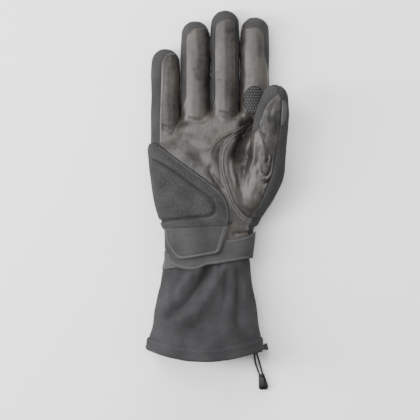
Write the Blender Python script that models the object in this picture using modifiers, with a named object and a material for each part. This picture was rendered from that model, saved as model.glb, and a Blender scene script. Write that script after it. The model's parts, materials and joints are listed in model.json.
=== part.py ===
"""Right-hand winter gauntlet glove, lying palm up.

+Z is up out of the palm, +Y runs to the fingertips and +X to the thumb.
The glove rests on the flattened back of the hand, and the origin lies on that rest face.
Every shell is a lofted skin: one form, cut by planes and thickened inwards or outwards, so that
each layer of the glove follows the layer under it.
"""

import math
import typing

import bmesh
import bpy
from mathutils import Matrix, Vector

# Materials and clearances
GAP = 0.0003            # between pieces that touch
SLIP = 0.0006           # between bodies that move past each other, and along a seam
LEATHER = 0.0011
SOFTSHELL = 0.0012
LINING = 0.0024         # membrane, insulation and fleece, bonded
FLATTENED = 0.0016      # how much of the round underside the table presses flat

# Fingers, across and through
FINGER_WIDTH = 0.0272
FINGER_DEPTH = 0.0272
FINGER_SEAM = 0.0150    # height of the seam between the leather and the back
FINGER_PITCH = FINGER_WIDTH + SLIP
MIDDLE_X = 0.0080
KNUCKLE_Y = 0.0620      # hinge line of index, middle and ring
LITTLE_KNUCKLE_Y = 0.0500
PIVOT_HEIGHT = 0.0205   # finger hinges lie near the palm side, where the leather creases
FINGER_FLEX = math.radians(60)
# name: place counted from the middle finger towards the thumb, hinge, lower length, whole length
FINGERS = {
    "index": (1, KNUCKLE_Y, 0.0450, 0.0952),
    "middle": (0, KNUCKLE_Y, 0.0480, 0.1017),
    "ring": (-1, KNUCKLE_Y, 0.0440, 0.0919),
    "little": (-2, LITTLE_KNUCKLE_Y, 0.0370, 0.0779),
}

# Thumb, in its own frame: Y along it, Z out of its leather face, origin on its root
THUMB_ROOT = Vector((0.0465, 0.0180, 0.0320))
THUMB_ALONG = Vector((0.0785, 0.955, 0.250)).normalized()
THUMB_FACES = Vector((-0.30, 0.0, 0.95))
THUMB_WIDTH = 0.0345
THUMB_DEPTH = 0.0270
THUMB_LENGTH = 0.0783
THUMB_LOWER = 0.0360
THUMB_PIVOT = 0.0060    # height of its middle hinge
THUMB_FLEX = math.radians(40)
THUMB_SWING = math.radians(30)
THUMB_SWING_X = 0.0100  # the swing pivots near the thumb's outer side
THUMB_SEAM = 0.0010

# Hand and gauntlet
HAND_LEFT = MIDDLE_X - 2 * FINGER_PITCH - FINGER_WIDTH / 2
HAND_RIGHT = MIDDLE_X + FINGER_PITCH + FINGER_WIDTH / 2
PALM_HEIGHT = 0.0380
PALM_SEAM = 0.0200
THUMB_NOTCH = 0.0150    # how far the palm edge draws in beside the thumb
WRIST_Y = -0.0560
WRIST_WIDTH = 0.0800
WRIST_X = -0.0070
WRIST_HEIGHT = 0.0410
WRIST_PIVOT = 0.0205
WRIST_BEND = math.radians(24)
CUFF_LENGTH = 0.0920
CUFF_WIDTH = 0.1080
CUFF_HEIGHT = 0.0610
CUFF_SHIFT = -0.0040    # the flare leans to the little finger's side
CUFF_DIP = 0.0110       # how far the rounded hem reaches past its corners
HEM_WIDTH = 0.0120
HEM_WALL = 0.0008

# Heel guard, flap and wrist strap
GUARD_FOAM = 0.0024
GUARD_COVER = 0.0010
FLAP = 0.0012
FLAP_HINGE_Y = -0.0385
FLAP_LENGTH = 0.0290
HOOK = 0.0006
STRAP = 0.0010
STRAP_WIDTH = 0.0210
STRAP_Y = -0.0510       # its upper edge on the glove's centre line
STRAP_SLOPE = 0.15
PATCH = 0.0008

# Drawcord, its lock and its end
CORD = 0.0018
CORD_LIFT = 0.0004      # the cords lie this far clear of the floor
LOCK_CENTRE = Vector((  # by the hem's corner on the thumb's side
    WRIST_X + CUFF_SHIFT + CUFF_WIDTH / 2 - 0.0078,
    WRIST_Y - CUFF_LENGTH - 0.0050,
    0.0040,
))
LOCK_HEADING = math.radians(14)  # the cords leave at this angle from straight down the arm
LOCK_LENGTH = 0.0150
LOCK_WIDTH = 0.0072
LOCK_HEIGHT = 0.0070
LOCK_WALL = 0.0010
PLUNGER_TRAVEL = 0.0022
SPRING_ROOM = 0.0034
BUTTON_LENGTH = 0.0030
SPRING_WIRE = 0.0005
SPRING_TURNS = 4
CORD_END_LENGTH = 0.0150
CORD_END_WIDTH = 0.0092
CORD_END_HEIGHT = 0.0056
CORD_END_NECK = 0.0062
CORD_END_SOCKET = 0.0070
CORD_END_LIP = 0.0012   # how far the strands stand in before the end's widest part of the hole

FINGER_SIDES = 16
HAND_SIDES = 28
DOME_STEPS = (28, 56)   # degrees of the rings that round off a tip

COLOURS = {
    "palm_leather": ((0.095, 0.088, 0.080), 0.42, 0.0),
    "softshell": ((0.060, 0.059, 0.062), 0.85, 0.0),
    "lining": ((0.030, 0.030, 0.032), 0.95, 0.0),
    "guard_fabric": ((0.088, 0.090, 0.090), 0.90, 0.0),
    "foam": ((0.050, 0.050, 0.050), 0.95, 0.0),
    "webbing": ((0.070, 0.071, 0.072), 0.80, 0.0),
    "hook_tape": ((0.020, 0.020, 0.020), 0.75, 0.0),
    "grip_rubber": ((0.018, 0.018, 0.018), 0.55, 0.0),
    "elastic_cord": ((0.060, 0.060, 0.060), 0.70, 0.0),
    "moulded_plastic": ((0.022, 0.022, 0.023), 0.35, 0.0),
    "spring_steel": ((0.550, 0.550, 0.560), 0.30, 1.0),
}


def clear_scene():
    for item in list(bpy.data.objects):
        bpy.data.objects.remove(item)


def collection(name):
    made = bpy.data.collections.new(name)
    bpy.context.scene.collection.children.link(made)
    return made


def finish_of(slot):
    """The slot's Principled material, made once."""
    if slot in bpy.data.materials:
        return bpy.data.materials[slot]
    colour, roughness, metallic = COLOURS[slot]
    made = bpy.data.materials.new(slot)
    made.use_nodes = True
    shader = made.node_tree.nodes["Principled BSDF"]
    shader.inputs["Base Color"].default_value = (*colour, 1.0)
    shader.inputs["Roughness"].default_value = roughness
    shader.inputs["Metallic"].default_value = metallic
    return made


def frame_from(origin, along, faces):
    """A matrix whose Y runs along a direction and whose Z faces another as nearly as it can."""
    side = along.cross(faces).normalized()
    up = side.cross(along)
    return Matrix.Translation(origin) @ Matrix((side, along, up)).transposed().to_4x4()


def power(value, exponent):
    return math.copysign(abs(value) ** exponent, value)


class Station(typing.NamedTuple):
    """One rounded section of a form, across its Y: a square of 2 is an ellipse, and more is boxier."""

    y: float
    left: float
    right: float
    bottom: float
    top: float
    square: float = 2.25
    dip: float = 0.0            # how far its top and bottom reach back past its sides
    rest: float | None = None   # the height that its underside is pressed flat at


class Form:
    """A soft tube through stations along Y, open at its start, with a dome this long at its tip."""

    def __init__(self, stations, sides, tip=None):
        self.stations = stations
        self.sides = sides
        self.tip = tip

    def section(self, station, offset, scale=1.0, forward=0.0):
        """The points of one ring, offset outwards from the form."""
        middle = (station.left + station.right) / 2
        height = (station.bottom + station.top) / 2
        across = ((station.right - station.left) / 2 + offset) * scale
        through = ((station.top - station.bottom) / 2 + offset) * scale
        points = []
        for i in range(self.sides):
            turn = 2 * math.pi * (i + 0.5) / self.sides
            x = middle + across * power(math.cos(turn), 2 / station.square)
            z = height + through * power(math.sin(turn), 2 / station.square)
            if station.rest is not None:
                z = max(z, station.rest - offset)
            points.append(Vector((x, station.y + forward - station.dip * math.sin(turn) ** 2, z)))
        return points

    def surface(self, offset=0.0, capped=False):
        """A bmesh of the form's surface: closed by a dome at the tip, open or capped at the ends."""
        bm = bmesh.new()
        rings = [self.section(s, offset) for s in self.stations]
        pole = None
        if self.tip is not None:
            last = self.stations[-1]
            for angle in map(math.radians, DOME_STEPS):
                reach = (self.tip + offset) * math.sin(angle)
                rings.append(self.section(last, offset, math.cos(angle), reach))
            centre = sum(rings[-1], Vector()) / self.sides
            pole = bm.verts.new((centre.x, last.y + self.tip + offset, centre.z))
        loops = [[bm.verts.new(p) for p in ring] for ring in rings]
        for near, far in zip(loops, loops[1:]):
            for i in range(self.sides):
                j = (i + 1) % self.sides
                bm.faces.new((near[i], near[j], far[j], far[i]))
        if pole is not None:
            for i in range(self.sides):
                bm.faces.new((loops[-1][i], loops[-1][(i + 1) % self.sides], pole))
        if capped:
            bm.faces.new(loops[0])
            if pole is None:
                bm.faces.new(loops[-1])
        bmesh.ops.recalc_face_normals(bm, faces=bm.faces)
        if not capped:
            point_outwards(bm)
        return bm


def point_outwards(bm):
    """Turns an open tube's faces away from its axis."""
    centre = sum((v.co for v in bm.verts), Vector()) / len(bm.verts)
    outward = 0.0
    for face in bm.faces:
        away = face.calc_center_median() - centre
        away.y = 0.0
        outward += away.dot(face.normal) * face.calc_area()
    if outward < 0:
        bmesh.ops.reverse_faces(bm, faces=bm.faces)


def trim(bm, planes):
    """Cuts away what lies past each (point, normal) plane."""
    for point, normal in planes:
        geometry = bm.verts[:] + bm.edges[:] + bm.faces[:]
        bmesh.ops.bisect_plane(
            bm, geom=geometry, dist=1e-7, plane_co=point, plane_no=normal, clear_outer=True
        )


def object_from(bm, name, group, slot=None):
    mesh = bpy.data.meshes.new(name)
    bm.to_mesh(mesh)
    bm.free()
    made = bpy.data.objects.new(name, mesh)
    group.objects.link(made)
    if slot:
        mesh.materials.append(finish_of(slot))
    return made


def thicken(item, wall, outwards=False):
    solid = item.modifiers.new("wall", "SOLIDIFY")
    solid.thickness = wall
    solid.offset = 1.0 if outwards else -1.0
    solid.use_even_offset = True
    return item


def cut(item, cutter):
    boolean = item.modifiers.new("cut_" + cutter.name, "BOOLEAN")
    boolean.operation = "DIFFERENCE"
    boolean.solver = "EXACT"
    boolean.object = cutter
    return item


def hide(item):
    item.hide_render = True
    item.display_type = "WIRE"
    return item


class Maker:
    """Makes the glove's pieces in one collection and its cutters in another."""

    def __init__(self):
        self.parts = collection("gauntlet_glove")
        self.cutters = collection("cutters")

    def skin(self, name, slot, form, offset, wall, planes=(), outwards=False, place=None):
        """A shell that follows the form at an offset, trimmed by planes, with a wall's thickness."""
        bm = form.surface(offset)
        trim(bm, planes)
        made = thicken(object_from(bm, name, self.parts, slot), wall, outwards)
        if place is not None:
            made.matrix_world = place
        return made

    def cutter(self, name, form, offset, place, start=None):
        """A solid of the form at an offset, from the given Y on if there is one."""
        bm = form.surface(offset, capped=True)
        if start is not None:
            trim(bm, [upright(0, start, (0, -1))])
            bmesh.ops.holes_fill(bm, edges=[edge for edge in bm.edges if edge.is_boundary])
        made = hide(object_from(bm, name, self.cutters))
        if place is not None:
            made.matrix_world = place
        return made

    def box(self, name, size, place, slot=None, bevel=0.0):
        """A box of a size, at a matrix, with rounded edges if a bevel is given."""
        bm = bmesh.new()
        bmesh.ops.create_cube(bm, size=1.0, matrix=Matrix.Diagonal((*size, 1.0)))
        group = self.parts if slot else self.cutters
        made = object_from(bm, name, group, slot)
        made.matrix_world = place
        if bevel:
            rounding = made.modifiers.new("edges", "BEVEL")
            rounding.width = bevel
            rounding.segments = 2
        return made if slot else hide(made)


def upright(x, y, towards):
    """A trimming plane that stands on the XY plane."""
    return Vector((x, y, 0)), Vector((*towards, 0)).normalized()


UP, DOWN, OUTER = Vector((0, 0, 1)), Vector((0, 0, -1)), Vector((1, 0, 0))


def hinge_planes(pivot, flex, keep_far, closes=UP):
    """The two planes that end a piece at a hinge: square across, and leaning off on the side that
    closes, by half of the wedge that the bending needs."""
    lean = math.tan(flex / 2 + math.radians(1.5))
    way = -1 if keep_far else 1
    point = Vector(pivot) - Vector((0, way * SLIP / 2, 0))
    return [(point, Vector((0, way, 0))), (point, (Vector((0, way, 0)) + closes * lean).normalized())]


def level(height, keep_above):
    """A level trimming plane, half a slip clear of the seam at that height."""
    shift = SLIP / 2 if keep_above else -SLIP / 2
    return Vector((0, 0, height + shift)), Vector((0, 0, -1 if keep_above else 1))


def hand_form():
    """The hand from the knuckles to the wrist and on to the hem, as one tube."""
    left, right = WRIST_X - WRIST_WIDTH / 2, WRIST_X + WRIST_WIDTH / 2
    cuff_left = WRIST_X + CUFF_SHIFT - CUFF_WIDTH / 2
    cuff_right = WRIST_X + CUFF_SHIFT + CUFF_WIDTH / 2
    hem_y = WRIST_Y - CUFF_LENGTH
    edge = HAND_RIGHT - THUMB_NOTCH
    under, lifted = -FLATTENED, HEM_WALL + GAP
    half_way = (WRIST_Y + hem_y) / 2

    def mixed(a, b, share):
        return a + (b - a) * share

    return Form(
        [
            Station(hem_y, cuff_left, cuff_right, 0, CUFF_HEIGHT, 2.0, CUFF_DIP, lifted),
            Station(hem_y + HEM_WIDTH, mixed(cuff_left, left, 0.14), mixed(cuff_right, right, 0.10),
                    0, CUFF_HEIGHT, 2.0, CUFF_DIP, lifted),
            Station(half_way, mixed(left, cuff_left, 0.45), mixed(right, cuff_right, 0.35),
                    under, mixed(WRIST_HEIGHT, CUFF_HEIGHT, 0.5), 2.1, CUFF_DIP / 2, 0),
            Station(WRIST_Y - 0.012, left, right - 0.0020, under, WRIST_HEIGHT, 2.2, 0, 0),
            Station(WRIST_Y, left, right, under, WRIST_HEIGHT, 2.3, 0, 0),
            Station(WRIST_Y + 0.018, left - 0.0010, right + 0.0020, under, PALM_HEIGHT + 0.002, 2.4, 0, 0),
            Station(WRIST_Y + 0.040, HAND_LEFT + 0.0070, edge + 0.0040, under, PALM_HEIGHT + 0.001, 2.5, 0, 0),
            Station(WRIST_Y + 0.066, HAND_LEFT + 0.0030, edge, under, PALM_HEIGHT, 2.6, 0, 0),
            Station(WRIST_Y + 0.090, HAND_LEFT + 0.0005, edge, under, PALM_HEIGHT - 0.003, 2.6, 0, 0),
            Station(KNUCKLE_Y - 0.012, HAND_LEFT, HAND_RIGHT - 0.0020, under, FINGER_DEPTH + 0.003, 2.6, 0, 0),
            Station(KNUCKLE_Y + 0.004, HAND_LEFT, HAND_RIGHT, under, FINGER_DEPTH, 2.6, 0, 0),
        ],
        HAND_SIDES,
    )


def finger_form(place, knuckle, length):
    middle = MIDDLE_X + place * FINGER_PITCH
    left, right = middle - FINGER_WIDTH / 2, middle + FINGER_WIDTH / 2
    dome = FINGER_WIDTH * 0.52
    under, depth = -FLATTENED, FINGER_DEPTH
    return Form(
        [
            Station(knuckle - 0.012, left, right, under, depth, rest=0),
            Station(knuckle + length * 0.45, left, right, under, depth, rest=0),
            Station(knuckle + length - dome, left + 0.0008, right - 0.0008, under, depth - 0.001, rest=0),
        ],
        FINGER_SIDES,
        dome,
    )


def thumb_form():
    """The free thumb and, behind its root, the mound that joins it to the palm."""
    half, depth = THUMB_WIDTH / 2, THUMB_DEPTH / 2
    tip_half = THUMB_WIDTH * 0.37
    dome = tip_half * 1.25
    return Form(
        [
            Station(-0.052, -0.0200, -0.0030, -0.0050, 0.0190),
            Station(-0.044, -0.0215, 0.0020, -0.0100, 0.0200),
            Station(-0.034, -0.0215, 0.0080, -0.0130, 0.0190),
            Station(-0.022, -0.0200, half - 0.0040, -depth, 0.0170),
            Station(-0.010, -half - 0.0005, half, -depth, depth + 0.0025),
            Station(0.004, -half, half, -depth, depth + 0.0010),
            Station(THUMB_LOWER, -half + 0.0010, half, -depth, depth),
            Station(THUMB_LENGTH - dome - 0.008, -half + 0.0040, half - 0.0004, -depth + 0.001, depth - 0.001),
            Station(THUMB_LENGTH - dome, half - 0.0014 - 2 * tip_half, half - 0.0014, -depth + 0.002,
                    depth - 0.002),
        ],
        FINGER_SIDES,
        dome,
    )


def make_digit(maker, name, form, segments, seam, place=None):
    """A finger or thumb: in each segment a leather face, a softshell back and the lining inside them."""
    inside = -(max(LEATHER, SOFTSHELL) + SLIP)
    for part, ends in segments.items():
        leather = [*ends, level(seam, True)]
        back = [*ends, level(seam, False)]
        maker.skin(f"{name}_leather_{part}", "palm_leather", form, 0.0, LEATHER, leather, place=place)
        maker.skin(f"{name}_back_{part}", "softshell", form, 0.0, SOFTSHELL, back, place=place)
        maker.skin(f"{name}_lining_{part}", "lining", form, inside, LINING, ends, place=place)


def make_fingers(maker):
    for name, (place, knuckle, lower, length) in FINGERS.items():
        base, middle = (0, knuckle, PIVOT_HEIGHT), (0, knuckle + lower, PIVOT_HEIGHT)
        segments = {
            "lower": hinge_planes(base, FINGER_FLEX, True) + hinge_planes(middle, FINGER_FLEX, False),
            "upper": hinge_planes(middle, FINGER_FLEX, True),
        }
        make_digit(maker, name, finger_form(place, knuckle, length), segments, FINGER_SEAM)


def make_grip_patch(maker):
    """The rubbery patch on the index finger's lower segment."""
    place, knuckle, lower, length = FINGERS["index"]
    middle = MIDDLE_X + place * FINGER_PITCH
    planes = [
        *hinge_planes((0, knuckle, PIVOT_HEIGHT), FINGER_FLEX, True),
        upright(0, knuckle + lower * 0.75, (0, 1)),
        upright(middle + FINGER_WIDTH * 0.32, 0, (1, 0)),
        level(FINGER_DEPTH - 0.0065, True),
    ]
    maker.skin("index_grip_patch", "grip_rubber", finger_form(place, knuckle, length), GAP, PATCH, planes, True)


def make_thumb(maker, form, place):
    root = hinge_planes((THUMB_SWING_X, 0, 0), THUMB_SWING, True, OUTER)
    middle = (0, THUMB_LOWER, THUMB_PIVOT)
    segments = {
        "lower": root + hinge_planes(middle, THUMB_FLEX, False),
        "upper": hinge_planes(middle, THUMB_FLEX, True),
    }
    make_digit(maker, "thumb", form, segments, THUMB_SEAM, place)
    touch = [
        *segments["upper"],
        upright(THUMB_WIDTH * 0.24, 0, (-1, 0)),
        upright(0, THUMB_LENGTH - 0.0140, (0, 1)),
        level(THUMB_SEAM, True),
    ]
    maker.skin("thumb_side_patch", "guard_fabric", form, GAP, PATCH, touch, True, place)


def make_hand(maker, form, thumb, thumb_place):
    """The palm and back of the hand, the thumb's mound, and the way through from one to the other."""
    inside = -(max(LEATHER, SOFTSHELL) + SLIP)
    knuckles = hinge_planes((0, KNUCKLE_Y, PIVOT_HEIGHT), FINGER_FLEX, False)
    wrist = hinge_planes((0, WRIST_Y, WRIST_PIVOT), WRIST_BEND, True, DOWN)
    ends = knuckles + wrist
    palm = maker.skin("palm_leather", "palm_leather", form, 0.0, LEATHER, [*ends, level(PALM_SEAM, True)])
    back = maker.skin("hand_back", "softshell", form, 0.0, SOFTSHELL, [*ends, level(PALM_SEAM, False)])
    lining = maker.skin("hand_lining", "lining", form, inside, LINING, ends)

    thumb_way = maker.cutter("thumb_way", thumb, inside - LINING, thumb_place)
    thumb_room = maker.cutter("thumb_room", thumb, SLIP, thumb_place, -SLIP)
    little_step = make_little_step(maker)
    for piece in (palm, back, lining):
        cut(cut(cut(piece, thumb_way), thumb_room), little_step)

    hand_solid = maker.cutter("hand_solid", form, GAP, None)
    mound_end = hinge_planes((THUMB_SWING_X, 0, 0), THUMB_SWING, False, OUTER)
    upper = [*mound_end, level(THUMB_SEAM, True)]
    lower = [*mound_end, level(THUMB_SEAM, False), upright(THUMB_WIDTH * -0.42, 0, (-1, 0))]
    for name, slot, offset, wall, planes in (
        ("mound_leather", "palm_leather", 0.0, LEATHER, upper),
        ("mound_back", "softshell", 0.0, SOFTSHELL, lower),
        ("mound_lining", "lining", inside, LINING, mound_end),
    ):
        cut(maker.skin(name, slot, thumb, offset, wall, planes, place=thumb_place), hand_solid)


def make_little_step(maker):
    """The cutter that ends the hand lower down at the little finger, with its hinge's wedge."""
    lean = math.tan(FINGER_FLEX / 2 + math.radians(1.5))
    start, far = LITTLE_KNUCKLE_Y - SLIP / 2, KNUCKLE_Y + 0.030
    below, above = -0.010, PIVOT_HEIGHT + 0.030
    outline = [
        (far, below),
        (start, below),
        (start, PIVOT_HEIGHT),
        (start - lean * (above - PIVOT_HEIGHT), above),
        (far, above),
    ]
    edge = MIDDLE_X - 1.5 * FINGER_PITCH + SLIP / 2
    bm = bmesh.new()
    face = bm.faces.new([bm.verts.new((edge, y, z)) for y, z in outline])
    grown = bmesh.ops.extrude_face_region(bm, geom=[face])
    moved = [v for v in grown["geom"] if isinstance(v, bmesh.types.BMVert)]
    bmesh.ops.translate(bm, verts=moved, vec=(-2 * FINGER_WIDTH, 0, 0))
    bmesh.ops.recalc_face_normals(bm, faces=bm.faces)
    return hide(object_from(bm, "little_step", maker.cutters))


def make_heel_guard(maker, form):
    """The foam pad at the heel of the palm under its sewn cover."""
    outline = [
        (Vector((-0.0067, 0.0033, 0)), Vector((0.587, 0.810, 0)).normalized()),
        (Vector((0.0080, -0.0125, 0)), Vector((0.875, 0.485, 0)).normalized()),
        (Vector((0.0123, 0, 0)), Vector((1, 0, 0))),
        (Vector((0, 0.0395, 0)), Vector((0, 1, 0))),
        (Vector((0, FLAP_HINGE_Y + SLIP, 0)), Vector((0, -1, 0))),
        (Vector((0, 0, 0.0110)), Vector((0, 0, -1))),
    ]
    inner = [(point - normal * 0.0025, normal) for point, normal in outline]
    above = GAP + GUARD_FOAM + GAP
    maker.skin("heel_guard_foam", "foam", form, GAP, GUARD_FOAM, inner, True)
    maker.skin("heel_guard_cover", "guard_fabric", form, above, GUARD_COVER, outline, True)


def strap_edges(margin=0.0):
    """The strap's two long edges, as trimming planes."""
    across = Vector((-STRAP_SLOPE, 1, 0)).normalized()
    upper = Vector((0, STRAP_Y, 0)) - across * margin
    lower = Vector((0, STRAP_Y, 0)) - across * (STRAP_WIDTH - margin)
    return [(upper, across), (lower, -across)]


def make_closure(maker, form):
    """The wrist strap over its loop patch, and the flap of the heel guard over the strap."""
    left = WRIST_X - WRIST_WIDTH / 2
    hook_start = GAP + HOOK + GAP
    strap_start = hook_start + HOOK + GAP
    flap_hook_start = strap_start + STRAP + GAP
    flap_start = flap_hook_start + HOOK + GAP
    on_cuff = (Vector((0, WRIST_Y - SLIP, 0)), Vector((0, 1, 0)))
    loop = [*strap_edges(0.0015), on_cuff, upright(-0.004, 0, (1, 0)), level(0.014, True)]
    hook = [*strap_edges(0.0020), upright(-0.008, 0, (1, 0)), level(0.022, True)]
    strap = [*strap_edges(), upright(left + 0.0020, 0, (-1, 0)), level(0.018, True)]
    maker.skin("strap_loop", "hook_tape", form, GAP, HOOK, loop, True)
    maker.skin("strap_hook", "hook_tape", form, hook_start, HOOK, hook, True)
    maker.skin("wrist_strap", "webbing", form, strap_start, STRAP, strap, True)
    flap = [
        (Vector((0, FLAP_HINGE_Y, 0)), Vector((0, 1, 0))),
        (Vector((0, FLAP_HINGE_Y - FLAP_LENGTH, 0)), Vector((0, -1, 0))),
        upright(0.0095, FLAP_HINGE_Y, (1, -0.31)),
        upright(left + 0.0005, FLAP_HINGE_Y, (-1, -0.28)),
        level(0.022, True),
    ]
    flap_hook = [(point - normal * 0.0030, normal) for point, normal in flap]
    maker.skin("flap_hook", "hook_tape", form, flap_hook_start, HOOK, flap_hook, True)
    maker.skin("heel_flap", "guard_fabric", form, flap_start, FLAP, flap, True)


def sweep_ring(maker, name, slot, form, outline):
    """A closed channel round the hem: an outline of (station, outwards, forward) points carried round it."""
    bm = bmesh.new()
    rings = []
    for station, out, forward in outline:
        rings.append([bm.verts.new(p) for p in form.section(form.stations[station], out, 1.0, forward)])
    for near, far in zip(rings, [*rings[1:], rings[0]]):
        for i in range(form.sides):
            j = (i + 1) % form.sides
            bm.faces.new((near[i], near[j], far[j], far[i]))
    bmesh.ops.recalc_face_normals(bm, faces=bm.faces)
    return object_from(bm, name, maker.parts, slot)


def make_cuff(maker, form):
    """The gauntlet: shell, lining, and the folded hem that the drawcord runs in."""
    inside = -(SOFTSHELL + SLIP)
    wrist = hinge_planes((0, WRIST_Y, WRIST_PIVOT), WRIST_BEND, False, DOWN)
    maker.skin("cuff_shell", "softshell", form, 0.0, SOFTSHELL, wrist)
    maker.skin("cuff_lining", "lining", form, inside, LINING, wrist)
    outside, within = GAP, inside - LINING - SLIP
    floor = -(CORD + 3 * GAP)
    hem = [
        (1, outside + HEM_WALL, 0),
        (1, outside, 0),
        (0, outside, 0),
        (0, outside, floor),
        (0, within, floor),
        (0, within, 0),
        (1, within, 0),
        (1, within - HEM_WALL, 0),
        (0, within - HEM_WALL, 0),
        (0, within - HEM_WALL, floor - HEM_WALL),
        (0, outside + HEM_WALL, floor - HEM_WALL),
        (0, outside + HEM_WALL, 0),
    ]
    sweep_ring(maker, "cuff_hem", "softshell", form, hem)
    middle, radius = (outside + within) / 2, CORD / 2
    turns = [math.radians(60 * k) for k in range(6)]
    cord = [(0, middle + radius * math.cos(a), radius * math.sin(a) - radius - GAP) for a in turns]
    sweep_ring(maker, "drawcord", "elastic_cord", form, cord)


def tube(maker, name, slot, points, diameter, closed=False):
    """A round tube along points: a POLY curve with filled caps."""
    curve = bpy.data.curves.new(name, "CURVE")
    curve.dimensions = "3D"
    curve.bevel_depth = diameter / 2
    curve.bevel_resolution = 2
    curve.use_fill_caps = not closed
    spline = curve.splines.new("POLY")
    spline.points.add(len(points) - 1)
    for target, point in zip(spline.points, points):
        target.co = (*point, 1.0)
    spline.use_cyclic_u = closed
    made = bpy.data.objects.new(name, curve)
    maker.parts.objects.link(made)
    curve.materials.append(finish_of(slot))
    return made


def smooth_route(route, step):
    """Points every step along a Catmull-Rom curve through the route's own points."""
    ends = [2 * route[0] - route[1], *route, 2 * route[-1] - route[-2]]
    made = [route[0]]
    for a, b, c, d in zip(ends, ends[1:], ends[2:], ends[3:]):
        count = max(1, round((c - b).length / step))
        for k in range(1, count + 1):
            t = k / count
            made.append(0.5 * (2 * b + (c - a) * t + (2 * a - 5 * b + 4 * c - d) * t**2
                               + (3 * b - a - 3 * c + d) * t**3))
    return made


def lock_frame():
    """The cord lock's frame: X along its plunger, Y the way that the cords leave, Z up."""
    leaves = Vector((math.sin(LOCK_HEADING), -math.cos(LOCK_HEADING), 0))
    side = leaves.cross(Vector((0, 0, 1)))
    return Matrix.Translation(LOCK_CENTRE) @ Matrix((-side, leaves, DOWN)).transposed().to_4x4()


def make_cord_lock(maker, place):
    """The spring lock: a barrel with a cross hole, a slotted plunger in its bore, and the spring behind."""
    def at(x):
        return place @ Matrix.Translation((x, 0, 0))

    bore_side = LOCK_HEIGHT - 2 * LOCK_WALL
    plunger_side = bore_side - 2 * GAP
    hole_length, hole_height = 2 * CORD + 3 * GAP, CORD + 2 * GAP
    size = (LOCK_LENGTH, LOCK_WIDTH, LOCK_HEIGHT)
    body = maker.box("cord_lock_body", size, place, "moulded_plastic", LOCK_WALL * 0.6)
    bore = maker.box("lock_bore", (LOCK_LENGTH, bore_side, bore_side), at(LOCK_WALL))
    spring_start = LOCK_WALL - LOCK_LENGTH / 2
    stem_start = spring_start + SPRING_ROOM
    hole_x = stem_start + LOCK_WALL + GAP + hole_length / 2
    through = 2 * LOCK_WIDTH
    cord_hole = maker.box("lock_cord_hole", (hole_length, through, hole_height), at(hole_x))
    cut(cut(body, bore), cord_hole)

    stem_end = LOCK_LENGTH / 2 + PLUNGER_TRAVEL + 2 * GAP
    stem_size = (stem_end - stem_start, plunger_side, plunger_side)
    plunger = maker.box("cord_lock_plunger", stem_size, at((stem_start + stem_end) / 2), "moulded_plastic")
    slot_length = hole_length + PLUNGER_TRAVEL + GAP
    slot = maker.box("plunger_slot", (slot_length, through, hole_height), at(hole_x + PLUNGER_TRAVEL / 2))
    button_size = (BUTTON_LENGTH + GAP, LOCK_WIDTH - LOCK_WALL, LOCK_HEIGHT - LOCK_WALL)
    button = maker.box("lock_button", button_size, at(stem_end + BUTTON_LENGTH / 2 - GAP / 2))
    joined = cut(plunger, slot).modifiers.new("button", "BOOLEAN")
    joined.operation = "UNION"
    joined.object = button

    radius = plunger_side / 2 - SPRING_WIRE
    steps = 10
    turns = SPRING_TURNS * steps
    wire = SPRING_WIRE / 2 + GAP
    coil = []
    for k in range(turns + 1):
        turn = 2 * math.pi * k / steps
        along = spring_start + wire + (SPRING_ROOM - 2 * wire) * k / turns
        coil.append(place @ Vector((along, radius * math.cos(turn), radius * math.sin(turn))))
    tube(maker, "cord_lock_spring", "spring_steel", coil, SPRING_WIRE)
    return hole_x


def make_drawcord_pull(maker, place, hole_x):
    """The two free strands, from under the hem through the lock to the floor, and the end that holds them."""
    low = CORD / 2 + CORD_LIFT
    half = LOCK_WIDTH / 2
    heads = []
    for name, side in (("left", -1), ("right", 1)):
        x = hole_x + side * (CORD + GAP) / 2
        head = LOCK_CENTRE + Vector((0.0067 + side * 0.0015, -0.0240, 0))
        head.z = CORD_END_HEIGHT / 2
        route = [
            place @ Vector((x, -half - 0.0085, -0.0060)),
            place @ Vector((x, -half - 0.0045, -0.0024)),
            place @ Vector((x, -half, 0)),
            place @ Vector((x, half, 0)),
            Vector((LOCK_CENTRE.x + 0.0032 + side * 0.0019, LOCK_CENTRE.y - 0.0125, low)),
            head,
            head + Vector((0.0007, -0.0045, 0)),
        ]
        tube(maker, f"drawcord_strand_{name}", "elastic_cord", smooth_route(route, 0.0030), CORD)
        heads.append(head)

    middle = (heads[0] + heads[1]) / 2 + Vector((0, CORD_END_LIP, 0))
    along = Vector((0.17, -0.985, 0)).normalized()
    flat = CORD_END_HEIGHT / 2
    tail = frame_from(Vector((middle.x, middle.y, flat)), along, UP)
    profile = [
        (0.0, CORD_END_NECK, 0.80),
        (CORD_END_LENGTH * 0.68, CORD_END_WIDTH - 0.0010, 1.0),
        (CORD_END_LENGTH * 0.80, CORD_END_WIDTH, 1.0),
        (CORD_END_LENGTH, CORD_END_NECK, 0.72),
    ]
    bm = bmesh.new()
    rings = []
    for y, width, share in profile:
        turns = [math.radians(22.5 + 45 * i) for i in range(8)]
        corners = [(width / 2 * power(math.cos(a), 0.7), y, flat * share * power(math.sin(a), 0.7)) for a in turns]
        rings.append([bm.verts.new(corner) for corner in corners])
    for near, far in zip(rings, rings[1:]):
        for i in range(8):
            bm.faces.new((near[i], near[(i + 1) % 8], far[(i + 1) % 8], far[i]))
    bm.faces.new(rings[0])
    bm.faces.new(rings[-1])
    bmesh.ops.recalc_face_normals(bm, faces=bm.faces)
    cord_end = object_from(bm, "cord_end", maker.parts, "moulded_plastic")
    cord_end.matrix_world = tail
    width = 0.0030 + CORD + 2 * SLIP
    hole = maker.box("cord_end_hole", (width, 2 * CORD_END_SOCKET, CORD + 2 * SLIP), tail)
    cut(cord_end, hole)


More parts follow.
